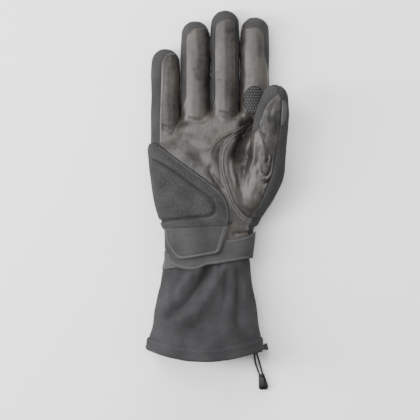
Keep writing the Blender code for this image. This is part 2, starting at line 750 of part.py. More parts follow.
def make_glove():
    clear_scene()
    maker = Maker()
    hand = hand_form()
    thumb = thumb_form()
    thumb_place = frame_from(THUMB_ROOT, THUMB_ALONG, THUMB_FACES)
    make_fingers(maker)
    make_grip_patch(maker)
    make_thumb(maker, thumb, thumb_place)
    make_hand(maker, hand, thumb, thumb_place)
    make_heel_guard(maker, hand)
    make_closure(maker, hand)
    make_cuff(maker, hand)
    lock = lock_frame()
    make_drawcord_pull(maker, lock, make_cord_lock(maker, lock))


make_glove()
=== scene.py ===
import json
import math

import bmesh
import bpy
import numpy as np
from mathutils import Matrix, Vector, noise
from mathutils.bvhtree import BVHTree


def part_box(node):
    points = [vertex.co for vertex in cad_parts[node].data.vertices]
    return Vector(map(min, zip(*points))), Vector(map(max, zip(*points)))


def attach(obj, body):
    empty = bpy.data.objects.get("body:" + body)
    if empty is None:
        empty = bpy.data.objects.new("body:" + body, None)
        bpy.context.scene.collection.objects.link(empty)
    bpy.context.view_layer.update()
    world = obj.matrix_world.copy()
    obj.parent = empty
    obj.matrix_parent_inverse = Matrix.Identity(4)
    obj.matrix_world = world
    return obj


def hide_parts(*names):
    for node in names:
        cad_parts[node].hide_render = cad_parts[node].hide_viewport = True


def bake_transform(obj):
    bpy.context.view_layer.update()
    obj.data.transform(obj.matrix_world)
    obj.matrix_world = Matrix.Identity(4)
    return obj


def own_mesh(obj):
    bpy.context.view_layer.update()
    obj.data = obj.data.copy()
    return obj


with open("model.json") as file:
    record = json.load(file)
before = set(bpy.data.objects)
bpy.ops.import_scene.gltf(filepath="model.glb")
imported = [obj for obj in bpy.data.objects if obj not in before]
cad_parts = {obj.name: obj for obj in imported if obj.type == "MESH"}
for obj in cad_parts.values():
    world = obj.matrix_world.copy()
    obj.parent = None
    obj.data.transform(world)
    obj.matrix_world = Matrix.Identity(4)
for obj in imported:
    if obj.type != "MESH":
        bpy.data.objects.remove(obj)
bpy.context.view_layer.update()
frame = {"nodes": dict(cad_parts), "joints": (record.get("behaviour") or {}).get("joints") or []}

# The studio: a pale floor under the glove, long soft lights over it, at both sides and beyond the
# fingertips, and a camera straight above the palm.
stage = bpy.data.collections.new("studio")
bpy.context.scene.collection.children.link(stage)

bm = bmesh.new()
bmesh.ops.create_grid(bm, x_segments=2, y_segments=2, size=3.0)
floor_mesh = bpy.data.meshes.new("floor")
bm.to_mesh(floor_mesh)
bm.free()
floor = bpy.data.objects.new("floor", floor_mesh)
stage.objects.link(floor)
paper = bpy.data.materials.new("white_paper")
paper.use_nodes = True
paper_shader = paper.node_tree.nodes["Principled BSDF"]
paper_shader.inputs["Base Color"].default_value = (0.92, 0.92, 0.92, 1)
paper_shader.inputs["Roughness"].default_value = 0.9
floor_mesh.materials.append(paper)

world = bpy.data.worlds.new("studio_air")
bpy.context.scene.world = world
world.use_nodes = True
world.node_tree.nodes["Background"].inputs["Color"].default_value = (1, 1, 1, 1)
world.node_tree.nodes["Background"].inputs["Strength"].default_value = 0.29


def softbox(name, place, size, power, aim):
    light = bpy.data.lights.new(name, "AREA")
    light.shape = "RECTANGLE"
    light.size, light.size_y = size
    light.energy = power
    lamp = bpy.data.objects.new(name, light)
    lamp.location = place
    lamp.rotation_euler = (Vector(aim) - Vector(place)).to_track_quat("-Z", "Y").to_euler()
    stage.objects.link(lamp)


softbox("overhead_softbox", (-0.28, 0.30, 1.30), (0.26, 1.3), 17, (0, 0, 0))
softbox("left_softbox", (-1.1, 0.0, 0.75), (0.30, 1.5), 36, (0, 0, 0))
softbox("far_softbox", (0.1, 1.3, 0.9), (1.4, 0.30), 20, (0, 0, 0))
softbox("right_softbox", (1.2, -0.1, 1.0), (0.35, 1.2), 6, (0, 0, 0))

camera_data = bpy.data.cameras.new("camera")
camera_data.lens = 300
camera_data.sensor_width = 36
camera = bpy.data.objects.new("camera", camera_data)
camera.location = (-0.0060, -0.0225, 3.275)
stage.objects.link(camera)
bpy.context.scene.camera = camera


# The elastic drawcord: two round braided strands that leave the hem channel, run through the spring
# lock and lie on the floor, held together in the moulded cord end.
MM = 0.001


def mm_line(points):
    return np.array(points, float) * MM


def smooth_line(points, step):
    """Points along a smooth curve through the given ones, about one step apart."""
    points = np.asarray(points, float)
    padded = np.vstack([2 * points[0] - points[1], points, 2 * points[-1] - points[-2]])
    found = []
    for before, a, b, after in zip(padded, padded[1:], padded[2:], padded[3:]):
        for t in np.arange(0, 1, step / max(step, float(np.linalg.norm(b - a)))):
            found.append(0.5 * (2 * a + (b - before) * t + (2 * before - 5 * a + 4 * b - after) * t ** 2
                                + (3 * a - before - 3 * b + after) * t ** 3))
    return np.array(found + [points[-1]])


def new_material(name, roughness, metallic=0.0):
    """A material with its nodes, its shader, and the piece's own Object coordinates."""
    material = bpy.data.materials.new(name)
    material.use_nodes = True
    tree = material.node_tree
    shader = tree.nodes["Principled BSDF"]
    shader.inputs["Metallic"].default_value = metallic
    shader.inputs["Roughness"].default_value = roughness
    place = tree.nodes.new("ShaderNodeTexCoord").outputs["Object"]
    return material, tree, shader, place


def add_node(tree, kind, **inputs):
    node = tree.nodes.new("ShaderNode" + kind)
    for name, value in inputs.items():
        socket = node.inputs[name.replace("_", " ")]
        if isinstance(value, bpy.types.NodeSocket):
            tree.links.new(value, socket)
        else:
            socket.default_value = value
    return node


def tint(tree, shader, height, dark, light):
    """Colours the shader between two tones by a 0 to 1 height."""
    ramp = tree.nodes.new("ShaderNodeValToRGB")
    ramp.color_ramp.elements[0].color = (*dark, 1)
    ramp.color_ramp.elements[1].color = (*light, 1)
    tree.links.new(height, ramp.inputs["Fac"])
    tree.links.new(ramp.outputs["Color"], shader.inputs["Base Color"])
    return ramp


def emboss(tree, shader, height, depth, strength=1.0, under=None):
    bump = add_node(tree, "Bump", Height=height, Distance=depth, Strength=strength)
    if under is not None:
        tree.links.new(under.outputs["Normal"], bump.inputs["Normal"])
    tree.links.new(bump.outputs["Normal"], shader.inputs["Normal"])
    return bump


def grey(value):
    return (value, value, value)


def braid_material():
    material, tree, shader, place = new_material("black_elastic_braid", 0.75)
    way = add_node(tree, "Mapping", Vector=place)
    way.inputs["Rotation"].default_value = (0, 0, 0.75)
    other = add_node(tree, "Mapping", Vector=place)
    other.inputs["Rotation"].default_value = (0, 0, -0.45)
    one = add_node(tree, "TexWave", Vector=way.outputs["Vector"], Scale=900.0)
    two = add_node(tree, "TexWave", Vector=other.outputs["Vector"], Scale=900.0)
    both = add_node(tree, "Math")
    both.operation = "MAXIMUM"
    tree.links.new(one.outputs["Fac"], both.inputs[0])
    tree.links.new(two.outputs["Fac"], both.inputs[1])
    tint(tree, shader, both.outputs["Value"], grey(0.010), grey(0.035))
    emboss(tree, shader, both.outputs["Value"], 0.0002, 0.8)
    return material


def moulding_material():
    material, tree, shader, place = new_material("black_moulding", 0.30)
    speck = add_node(tree, "TexNoise", Vector=place, Scale=1500.0, Detail=3.0)
    tint(tree, shader, speck.outputs["Fac"], grey(0.002), grey(0.007))
    emboss(tree, shader, speck.outputs["Fac"], 0.00008, 0.5)
    shader.inputs["Specular IOR Level"].default_value = 0.22
    return material


braid = braid_material()
moulding = moulding_material()


def add_object(name, mesh, material=None, smooth=True):
    item = bpy.data.objects.new(name, mesh)
    bpy.context.scene.collection.objects.link(item)
    if material is not None:
        mesh.materials.clear()
        mesh.materials.append(material)
    for face in mesh.polygons:
        face.use_smooth = smooth
    return item


def applied(item):
    """The object with its modifiers carried out."""
    graph = bpy.context.evaluated_depsgraph_get()
    mesh = bpy.data.meshes.new_from_object(item.evaluated_get(graph))
    item.modifiers.clear()
    item.data = mesh
    return item


def tube_mesh(name, path, radius, sides=14):
    """A round tube along a path, with rounded ends."""
    path = [Vector(point) for point in path]
    bm = bmesh.new()
    rings = []
    stops = [(0, -0.9, 0.35), (0, -0.5, 0.85)] + [(k, 0, 1) for k in range(len(path))]
    stops += [(len(path) - 1, 0.5, 0.85), (len(path) - 1, 0.9, 0.35)]
    for k, ahead, scale in stops:
        run = (path[min(k + 1, len(path) - 1)] - path[max(k - 1, 0)]).normalized()
        turn = Vector((0, 0, 1)).rotation_difference(run).to_matrix().to_4x4()
        spot = Matrix.Translation(path[k] + run * ahead * radius) @ turn
        ring = bmesh.ops.create_circle(bm, radius=radius * scale, segments=sides, matrix=spot)["verts"]
        rings.append(list({edge for vert in ring for edge in vert.link_edges}))
    for near, far in zip(rings, rings[1:]):
        bmesh.ops.bridge_loops(bm, edges=near + far)
    bmesh.ops.contextual_create(bm, geom=rings[0])
    bmesh.ops.contextual_create(bm, geom=rings[-1])
    bmesh.ops.recalc_face_normals(bm, faces=bm.faces)
    mesh = bpy.data.meshes.new(name)
    bm.to_mesh(mesh)
    bm.free()
    return mesh


JOINTS = {joint["name"]: joint for joint in frame["joints"]}
CORD_WIDTH = 1.8 * MM
lock_low, lock_high = (Vector(corner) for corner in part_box("cord_lock_body"))
lock_centre = (lock_low + lock_high) / 2
lock_along = Vector((math.cos(math.radians(14)), math.sin(math.radians(14)), 0))
cord_leaves = Vector((lock_along.y, -lock_along.x, 0))
lock_place = (Matrix.Translation(lock_centre)
              @ Matrix((lock_along, cord_leaves, Vector((0, 0, -1)))).transposed().to_4x4())
HOLE_X = 0.45 * MM
half_lock = 3.6 * MM
strands = []
heads = []
for name, side in (("left", -1), ("right", 1)):
    x = HOLE_X + side * 1.05 * MM
    head = lock_centre + Vector((6.7 * MM + side * 1.5 * MM, -24 * MM, 0))
    head.z = 2.8 * MM
    route = [
        lock_place @ Vector((x, -half_lock - 8.5 * MM, -6.0 * MM)),
        lock_place @ Vector((x, -half_lock - 4.5 * MM, -2.4 * MM)),
        lock_place @ Vector((x, -half_lock, 0)),
        lock_place @ Vector((x, half_lock, 0)),
        Vector((lock_centre.x + 3.2 * MM + side * 1.9 * MM, lock_centre.y - 12.5 * MM, 1.3 * MM)),
        head,
        head + Vector((0.7 * MM, -4.5 * MM, 0)),
    ]
    path = smooth_line(route, 1.5 * MM)
    mesh = tube_mesh(f"{name}_cord", path, CORD_WIDTH / 2)
    strand = add_object(f"{name}_cord", mesh, braid)
    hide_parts(f"drawcord_strand_{name}")
    heads.append(head)
    strands.append((strand, path, route[3], route[4]))


# The cord end: a moulded, tapered slug with flat faces that clips over both strands; the cord lock's
# button and barrel are moulded too, with a steel spring between.
def cord_end_mesh():
    middle = (heads[0] + heads[1]) / 2 + Vector((0, 1.2 * MM, 0))
    along = Vector((0.17, -0.985, 0)).normalized()
    across = along.cross(Vector((0, 0, 1)))
    place = (Matrix.Translation((middle.x, middle.y, 2.8 * MM))
             @ Matrix((across, along, Vector((0, 0, 1)))).transposed().to_4x4())
    profile = [(0.0, 4.6, 3.6), (0.5, 5.9, 4.6), (1.8, 6.2, 4.9), (2.3, 5.5, 4.3), (2.8, 6.3, 4.9),
               (6.5, 7.4, 5.4), (10.2, 8.6, 5.5), (12.3, 9.1, 5.3), (13.9, 7.8, 4.6), (14.8, 5.6, 3.2)]
    bm = bmesh.new()
    rings = []
    for y, width, height in profile:
        ring = bmesh.ops.create_circle(bm, radius=0.5, segments=8)["verts"]
        for vert in ring:
            angle = math.atan2(vert.co.y, vert.co.x) + math.radians(22.5)
            spot = Vector((math.cos(angle) * width * 0.54, y, math.sin(angle) * height * 0.54))
            vert.co = place @ (spot * MM)
        rings.append(list({edge for vert in ring for edge in vert.link_edges}))
    for near, far in zip(rings, rings[1:]):
        bmesh.ops.bridge_loops(bm, edges=near + far)
    bmesh.ops.contextual_create(bm, geom=rings[0])
    bmesh.ops.contextual_create(bm, geom=rings[-1])
    bmesh.ops.recalc_face_normals(bm, faces=bm.faces)
    bmesh.ops.bevel(bm, geom=bm.edges[:], offset=0.28 * MM, offset_type="OFFSET", segments=2, profile=0.5,
                    affect="EDGES", material=-1)
    mesh = bpy.data.meshes.new("moulded_cord_end")
    bm.to_mesh(mesh)
    bm.free()
    return mesh


cord_end = add_object("moulded_cord_end", cord_end_mesh(), moulding, smooth=False)
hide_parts("cord_end")
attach(cord_end, "cord_pull")


def steel_material():
    material, tree, shader, place = new_material("spring_steel", 0.3, 1.0)
    drawn = add_node(tree, "TexNoise", Vector=place, Scale=3000.0)
    tint(tree, shader, drawn.outputs["Fac"], grey(0.35), grey(0.55))
    return material


for node in ("cord_lock_body", "cord_lock_plunger"):
    frame["nodes"][node].data.materials.clear()
    frame["nodes"][node].data.materials.append(moulding)


def coil_mesh(node):
    bm = bmesh.new()
    bm.from_mesh(node.data)
    bmesh.ops.transform(bm, matrix=node.matrix_world, verts=bm.verts)
    mesh = bpy.data.meshes.new("lock_spring")
    bm.to_mesh(mesh)
    bm.free()
    return mesh


spring = add_object("lock_spring", coil_mesh(frame["nodes"]["cord_lock_spring"]), steel_material())
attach(spring, "cuff")
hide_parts("cord_lock_spring")
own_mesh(spring)
frame["nodes"]["drawcord"].data.materials.clear()
frame["nodes"]["drawcord"].data.materials.append(braid)

for strand, path, leaves, lands in strands:
    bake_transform(strand)
    length = float(np.linalg.norm(np.diff(path, axis=0), axis=1).sum())


# The sewn shell of the hand: a tube for each finger and one for the thumb, run together at the palm.
# It is the last that the leather and softshell panels are stretched on, so it is shaped before they are cut.
def curve_through(places, values, at):
    """Values between stations, on a smooth curve that doesn't overshoot them."""
    places, values = np.asarray(places, float), np.asarray(values, float)
    steps = np.diff(values) / np.diff(places)
    slopes = np.concatenate([[steps[0]], (steps[:-1] + steps[1:]) / 2, [steps[-1]]])
    slopes[1:-1][steps[:-1] * steps[1:] <= 0] = 0
    at = np.clip(np.asarray(at, float), places[0], places[-1])
    i = np.clip(np.searchsorted(places, at, side="right") - 1, 0, len(places) - 2)
    gap = places[i + 1] - places[i]
    t = (at - places[i]) / gap
    return (values[i] * (1 + 2 * t) * (1 - t) ** 2 + slopes[i] * gap * t * (1 - t) ** 2
            + values[i + 1] * t * t * (3 - 2 * t) + slopes[i + 1] * gap * t * t * (t - 1))


def smooth_step(low, high, value):
    t = np.clip((np.asarray(value, float) - low) / (high - low), 0, 1)
    return t * t * (3 - 2 * t)


class Tube:
    """A soft tube along Y through stations of (y, left, right, bottom, top, squareness)."""

    def __init__(self, stations, place=None):
        self.table = np.array(sorted(stations), float)
        self.place = np.array(place or Matrix.Identity(4))
        self.back = np.linalg.inv(self.place)

    def oval(self, y):
        return [curve_through(self.table[:, 0], self.table[:, k], y) for k in range(1, 6)]

    def points(self, turn, y, offset=0.0):
        left, right, bottom, top, square = self.oval(y)
        across, up = np.cos(turn), np.sin(turn)
        across = np.sign(across) * np.abs(across) ** (2 / square)
        up = np.sign(up) * np.abs(up) ** (2 / square)
        x = (left + right) / 2 + ((right - left) / 2 + offset) * across
        z = (bottom + top) / 2 + ((top - bottom) / 2 + offset) * up
        found = np.stack(np.broadcast_arrays(x, y, z), -1)
        return found @ self.place[:3, :3].T + self.place[:3, 3]

    def inside(self, points):
        """How far inside the tube's wall each point is, - outside, and its place in the tube's frame."""
        own = points @ self.back[:3, :3].T + self.back[:3, 3]
        left, right, bottom, top, square = self.oval(own[:, 1])
        across = np.abs(own[:, 0] - (left + right) / 2) / ((right - left) / 2)
        up = np.abs(own[:, 2] - (bottom + top) / 2) / ((top - bottom) / 2)
        reach = (across ** square + up ** square) ** (1 / square)
        return (1 - reach) * np.minimum(right - left, top - bottom) / 2, own

    def add_to(self, bm, rows, sides, offset, dome=0.0):
        """Adds the tube to a bmesh, closed at both ends, with a dome past its last row."""
        stops = [(row, 1.0, 0.0) for row in rows]
        if dome:
            stops += [(rows[-1], math.cos(a), dome * math.sin(a))
                      for a in np.radians([14, 28, 42, 55, 67, 78, 86])]
        rings = []
        for row, scale, ahead in stops:
            ring = bmesh.ops.create_circle(bm, radius=1.0, segments=sides)["verts"]
            turns = np.array([math.atan2(vert.co.y, vert.co.x) for vert in ring])
            places = self.points(turns, row, offset)
            middle = places.mean(axis=0)
            places = middle + (places - middle) * scale + self.place[:3, 1] * ahead
            for vert, place in zip(ring, places):
                vert.co = place
            rings.append(list({edge for vert in ring for edge in vert.link_edges}))
        for near, far in zip(rings, rings[1:]):
            bmesh.ops.bridge_loops(bm, edges=near + far)
        bmesh.ops.contextual_create(bm, geom=rings[0])
        bmesh.ops.contextual_create(bm, geom=rings[-1])


FINGERS = ("index", "middle", "ring", "little")
knuckle = {name: JOINTS[f"{name}_knuckle"]["pos_m"][1] for name in FINGERS}
mid_joint = {name: JOINTS[f"{name}_middle_joint"]["pos_m"][1] for name in FINGERS}
wrist_y = JOINTS["wrist_bend"]["pos_m"][1]
finger_tip, finger_mid, finger_half = {}, {}, {}
for name in FINGERS:
    low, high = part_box(f"{name}_back_lower")
    finger_mid[name] = (low[0] + high[0]) / 2
    finger_half[name] = (high[0] - low[0]) / 2 + 0.2 * MM
    finger_tip[name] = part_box(f"{name}_back_upper")[1][1]
finger_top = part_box("index_leather_lower")[1][2]
PUFF = 1.1 * MM         # the last is made this much smaller, and swells back once its tubes are joined
SLIP = 0.6 * MM


def finger_tube(name):
    x, half = finger_mid[name], finger_half[name]
    base, bend, tip = knuckle[name], mid_joint[name], finger_tip[name]
    rows = [
        (base - 14 * MM, 0.0, 1.0),
        (base + 6 * MM, 0.0, 1.0),
        (bend - 20 * MM, 0.2, 1.01),
        (bend - 2 * MM, -0.3, 0.992),
        (bend + 18 * MM, 0.15, 1.01),
        (tip - 13 * MM, -0.5, 0.97),
    ]
    return Tube([(y, x - half - wide * MM, x + half + wide * MM, -1.2 * MM, finger_top * tall, 2.25)
                 for y, wide, tall in rows])


finger_tubes = {name: finger_tube(name) for name in FINGERS}
cuff_low, cuff_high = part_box("cuff_shell")
hem_low, hem_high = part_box("cuff_hem")
hand_left = finger_mid["little"] - finger_half["little"]
hand_right = finger_mid["index"] + finger_half["index"]
under = -1.6 * MM
HEM_DIP = 11 * MM
hem_corner = hem_low[1] + HEM_DIP

hand_tube = Tube([
    (hem_corner + 3 * MM, cuff_low[0] - 0.2 * MM, cuff_high[0] + 0.2 * MM, 0.9 * MM, cuff_high[2], 2.0),
    (wrist_y - 46 * MM, -54.8 * MM, 36.6 * MM, 0.2 * MM, 50.5 * MM, 2.05),
    (wrist_y - 12 * MM, -47.0 * MM, 31.8 * MM, -0.8 * MM, 41.8 * MM, 2.2),
    (wrist_y, -47.0 * MM, 33.0 * MM, -0.8 * MM, 41.0 * MM, 2.3),
    (wrist_y + 18 * MM, -48.2 * MM, 35.0 * MM, under, 40.2 * MM, 2.4),
    (wrist_y + 40 * MM, -54.2 * MM, 38.0 * MM, under, 39.4 * MM, 2.5),
    (wrist_y + 66 * MM, -58.2 * MM, 36.0 * MM, under, 38.4 * MM, 2.5),
    (wrist_y + 90 * MM, hand_left + 0.5 * MM, 35.5 * MM, under, 35.2 * MM, 2.5),
    (knuckle["index"] - 14 * MM, hand_left, hand_right - 2 * MM, under, 31.2 * MM, 2.5),
    (knuckle["index"] - 4 * MM, hand_left, hand_right, under, 27.6 * MM, 2.4),
    (knuckle["index"] + 2 * MM, hand_left + 0.5 * MM, hand_right - 0.5 * MM, 1 * MM, 23.5 * MM, 2.3),
    (knuckle["index"] + 7.5 * MM, hand_left + 3 * MM, hand_right - 3 * MM, 7 * MM, 16 * MM, 2.2),
])

thumb_side = Vector(JOINTS["thumb_middle_joint"]["axis"]).normalized()
thumb_up = -Vector(JOINTS["thumb_swing"]["axis"]).normalized()
thumb_along = thumb_up.cross(thumb_side)
thumb_root = Vector(JOINTS["thumb_swing"]["pos_m"]) - thumb_side * 10 * MM
thumb_place = (Matrix.Translation(thumb_root)
               @ Matrix((thumb_side, thumb_along, thumb_up)).transposed().to_4x4())
thumb_bend = (Vector(JOINTS["thumb_middle_joint"]["pos_m"]) - thumb_root).dot(thumb_along)
thumb_tip = max((vert.co - thumb_root).dot(thumb_along)
                for vert in frame["nodes"]["thumb_back_upper"].data.vertices)
thumb_tube = Tube([
    (-0.058, -20 * MM, -4 * MM, -6 * MM, 4 * MM, 2.2),
    (-0.046, -23 * MM, 1.0 * MM, -11 * MM, 14 * MM, 2.2),
    (-0.034, -25 * MM, 8.0 * MM, -13 * MM, 17.5 * MM, 2.2),
    (-0.022, -25 * MM, 13.2 * MM, -13.5 * MM, 17 * MM, 2.2),
    (-0.010, -21 * MM, 17.2 * MM, -13.5 * MM, 16 * MM, 2.2),
    (0.004, -17.8 * MM, 17.4 * MM, -13.5 * MM, 14.8 * MM, 2.2),
    (0.020, -17.0 * MM, 17.2 * MM, -13.5 * MM, 14.2 * MM, 2.2),
    (thumb_bend, -16.4 * MM, 17.2 * MM, -13.5 * MM, 13.5 * MM, 2.2),
    (thumb_tip - 26 * MM, -14.0 * MM, 16.9 * MM, -12.8 * MM, 13.0 * MM, 2.2),
    (thumb_tip - 14 * MM, -10.0 * MM, 15.2 * MM, -11.0 * MM, 11.5 * MM, 2.2),
], thumb_place)
CROTCH = 5 * MM         # how far past its root the thumb comes free of the palm


def make_last():
    bm = bmesh.new()
    rows = list(np.arange(wrist_y - 12 * MM, knuckle["index"] - 6 * MM, 4 * MM))
    rows += list(np.arange(knuckle["index"] - 6 * MM, knuckle["index"] + 7.5 * MM, 1.5 * MM))
    hand_tube.add_to(bm, rows, 72, -PUFF)
    for vert in bm.verts:
        back = 11 * MM * float(smooth_step(25 * MM, 62 * MM, vert.co.y))
        vert.co.y -= back * float(smooth_step(-22 * MM, -40 * MM, vert.co.x) if vert.co.x < -22 * MM else 0)
    bmesh.ops.recalc_face_normals(bm, faces=bm.faces)
    mesh = bpy.data.meshes.new("palm_last")
    bm.to_mesh(mesh)
    bm.free()
    last = add_object("last", mesh)

    bm = bmesh.new()
    rows = list(np.arange(CROTCH - PUFF - SLIP, thumb_tip - 14 * MM, 4 * MM)) + [thumb_tip - 14 * MM]
    thumb_tube.add_to(bm, rows, 40, PUFF + SLIP + 0.3 * MM, 16 * MM)
    bmesh.ops.recalc_face_normals(bm, faces=bm.faces)
    mesh = bpy.data.meshes.new("thumb_room")
    bm.to_mesh(mesh)
    bm.free()
    room = add_object("thumb_room", mesh)
    carve = last.modifiers.new("thumb_room", "BOOLEAN")
    carve.object = room
    carve.solver = "EXACT"
    applied(last)

    bm = bmesh.new()
    bm.from_mesh(last.data)
    for name in FINGERS:
        rows = (list(np.arange(knuckle[name] - 14 * MM, finger_tip[name] - 13 * MM, 4 * MM))
                + [finger_tip[name] - 13 * MM])
        finger_tubes[name].add_to(bm, rows, 40, -PUFF, 13 * MM - PUFF)
    rows = list(np.arange(-0.058, thumb_tip - 14 * MM, 4 * MM)) + [thumb_tip - 14 * MM]
    thumb_tube.add_to(bm, rows, 40, -PUFF, 14 * MM - PUFF)
    bmesh.ops.recalc_face_normals(bm, faces=bm.faces)
    bm.to_mesh(last.data)
    bm.free()
    bpy.data.objects.remove(room)
    remesh = last.modifiers.new("joined", "REMESH")
    remesh.mode = "VOXEL"
    remesh.voxel_size = 1.35 * MM
    relax = last.modifiers.new("relaxed", "SMOOTH")
    relax.iterations = 10
    relax.factor = 0.5
    return applied(last)


def mesh_points(mesh):
    found = np.empty(len(mesh.vertices) * 3, np.float32)
    mesh.vertices.foreach_get("co", found)
    return found.reshape(-1, 3).astype(float)


def mesh_normals(mesh):
    found = np.empty(len(mesh.vertices) * 3, np.float32)
    mesh.vertex_normals.foreach_get("vector", found)
    return found.reshape(-1, 3).astype(float)


def set_points(mesh, points):
    mesh.vertices.foreach_set("co", np.ascontiguousarray(points, np.float32).reshape(-1))
    mesh.update()


last = make_last()
set_points(last.data, mesh_points(last.data) + mesh_normals(last.data) * PUFF)
finer = last.modifiers.new("finer", "SUBSURF")
finer.levels = finer.render_levels = 1
applied(last)


# Where the panels meet. Each boundary is a signed distance, so that a panel can be cut on a clean line.
def line_distance(points, line):
    """From above: distance from each point to a line, its side, + left of the run, and how far along."""
    best = np.full(len(points), 1e9)
    side = np.ones(len(points))
    along = np.zeros(len(points))
    done = 0.0
    total = float(np.linalg.norm(np.diff(line, axis=0), axis=1).sum())
    for a, b in zip(line[:-1], line[1:]):
        run = b - a
        size = float(np.hypot(*run))
        t = np.clip(((points[:, 0] - a[0]) * run[0] + (points[:, 1] - a[1]) * run[1]) / size ** 2, 0, 1)
        dx = points[:, 0] - a[0] - run[0] * t
        dy = points[:, 1] - a[1] - run[1] * t
        gap = np.hypot(dx, dy)
        nearer = gap < best
        best[nearer] = gap[nearer]
        side[nearer] = np.where(run[0] * dy - run[1] * dx >= 0, 1.0, -1.0)[nearer]
        along[nearer] = ((done + t * size) / total)[nearer]
        done += size
    return best, side, along


def signed_side(points, line):
    best, side, _ = line_distance(points, line)
    return best * side


def within(points, outline):
    """Signed distance to a closed outline seen from above, + inside."""
    outline = np.vstack([outline, outline[:1]])
    best, _, _ = line_distance(points, outline)
    crossings = np.zeros(len(points), int)
    x, y = points[:, 0], points[:, 1]
    for a, b in zip(outline[:-1], outline[1:]):
        if a[1] == b[1]:
            continue
        spans = (a[1] > y) != (b[1] > y)
        crossings += spans & (x < (b[0] - a[0]) * (y - a[1]) / (b[1] - a[1]) + a[0])
    return np.where(crossings % 2 == 1, best, -best)


# left edge, right edge and arch top of each finger's leather front;
# a wide value leaves it to the side seam
FRONTS = {
    "index": (17.0, 44.6, 147.6, 3.2),
    "middle": (-2.3, 18.8, 155.0, 2.3),
    "ring": (-28.8, -4.0, 146.8, 2.3),
    "little": (-51.2, -30.0, 123.6, 2.2),
}
CROTCH_Y = {"index": 69.3, "middle": 69.3, "ring": 69.3, "little": 60.0}
FINGER_SEAM = 15 * MM
PALM_SEAM = 20 * MM
LITTLE_SIDE_X = -52.8 * MM      # the little finger's side seam runs on down the palm's edge

thumb_panel_seam = smooth_line(mm_line([
    (34.5, 57.5), (29.5, 53), (23.4, 48.9), (18, 44.8), (13.3, 40.1), (9.4, 34.8), (7.7, 28), (7.5, 20.8),
    (8.7, 10.7), (11.8, 1.2), (16.4, -12.4), (20.2, -19.6), (24.6, -25.2), (29, -28.6), (34.6, -30.2),
    (42, -30.4)]),
    3 * MM)
thumb_front_outline = np.vstack([
    smooth_line(mm_line([
        (58.6, 82.6), (60.0, 79.5), (59.4, 63.4), (58.7, 54.1), (56.7, 40.1), (54.4, 24.6), (52.1, 12.2),
        (49, 3.7),
        (43.6, -9.4), (38.1, -21.1), (34.3, -29.6), (27, -43), (21, -56), (18, -62)]), 3 * MM),
    mm_line([(-120, -62), (-120, 47), (20, 47)]),
    smooth_line(mm_line([
        (33, 48.5), (38.6, 52.5), (40.4, 59.5), (43.6, 69.6), (48.2, 76.6), (52.5, 81), (55.6, 83.4),
        (57.2, 83.9)]), 2.5 * MM),
])


def finger_front(points, name):
    left, right, top, square = FRONTS[name]
    left, right, top = left * MM, right * MM, top * MM
    x, y = points[:, 0], points[:, 1]
    crotch = CROTCH_Y[name] * MM
    opens = smooth_step(crotch - 3 * MM, crotch + 15 * MM, y)
    edge_left = finger_mid[name] - finger_half[name]
    edge_right = finger_mid[name] + finger_half[name]
    if name == "little":
        low_left, low_right = np.full(len(points), LITTLE_SIDE_X), edge_right + 1 * MM
        now_left = low_left + (left - low_left) * smooth_step(50 * MM, 110 * MM, y)
    else:
        now_left = edge_left - 1 * MM + (left - edge_left + 1 * MM) * opens
        low_right = edge_right + 1 * MM
    now_right = low_right + (right - low_right) * opens
    if name == "index":
        now_right = (low_right + (48.6 * MM - low_right) * opens
                     + (right - 48.6 * MM) * smooth_step(104 * MM, 124 * MM, y))
    half = (right - left) / 2
    arch = half * 1.15
    reach = (np.abs((x - (left + right) / 2) / half) ** square
             + np.clip((y - (top - arch)) / arch, 0, None) ** square) ** (1 / square)
    over = np.where(y > top - arch, (1 - reach) * half, 1.0)
    return np.minimum(np.minimum(np.minimum(x - now_left, now_right - x), over), points[:, 2] - FINGER_SEAM)


def nearest_finger(points):
    edges = [(finger_mid[a] + finger_mid[b]) / 2 for a, b in zip(FINGERS, FINGERS[1:])]
    return np.select([points[:, 0] > edge for edge in edges], [0, 1, 2], 3)


def on_thumb(points):
    """+ where a point belongs to the thumb's free part, beyond the crotch."""
    inside, own = thumb_tube.inside(points)
    return np.minimum(inside + 1.4 * MM, own[:, 1] - (CROTCH - 2 * MM)), own


def thumb_front(points, own):
    past = smooth_step(-12 * MM, 16 * MM, own[:, 1])
    height = (points[:, 2] - PALM_SEAM) * (1 - past) + (own[:, 2] - 1 * MM) * past
    return np.minimum(within(points, thumb_front_outline), height)


def leather_field(points):
    """+ on leather, - on softshell."""
    finger = nearest_finger(points)
    fronts = np.stack([finger_front(points, name) for name in FINGERS])
    value = fronts[finger, np.arange(len(points))]
    seam_z = PALM_SEAM + (FINGER_SEAM - PALM_SEAM) * smooth_step(30 * MM, 58 * MM, points[:, 1])
    heel_side = LITTLE_SIDE_X + 16 * MM * (1 - smooth_step(-42 * MM, -26 * MM, points[:, 1]))
    palm = np.minimum(points[:, 0] - heel_side, points[:, 2] - seam_z)
    value = np.where(points[:, 1] < 50 * MM, palm, value)
    thumb, own = on_thumb(points)
    mound = (thumb > 0) | ((points[:, 0] > 30 * MM) & (points[:, 1] < 24 * MM))
    return np.where(mound, thumb_front(points, own), value)


SPLITS = {"index": (70, 93), "middle": (70, 95), "ring": (70, 92), "little": (61, 76)}
BENDS = {"index": ((70, 86), (97, 117)), "middle": ((70, 86), (100, 120)), "ring": ((70, 86), (96, 116)),
         "little": ((61, 74), (78, 96))}
THUMB_BENDS = ((4, 26), (28, 44))
THUMB_SPLIT = 27 * MM


def finger_base_field(points):
    finger = nearest_finger(points)
    planes = np.array([SPLITS[name][0] * MM for name in FINGERS])
    thumb, _ = on_thumb(points)
    return np.where(thumb > -1.0 * MM, -1.0, points[:, 1] - planes[finger])


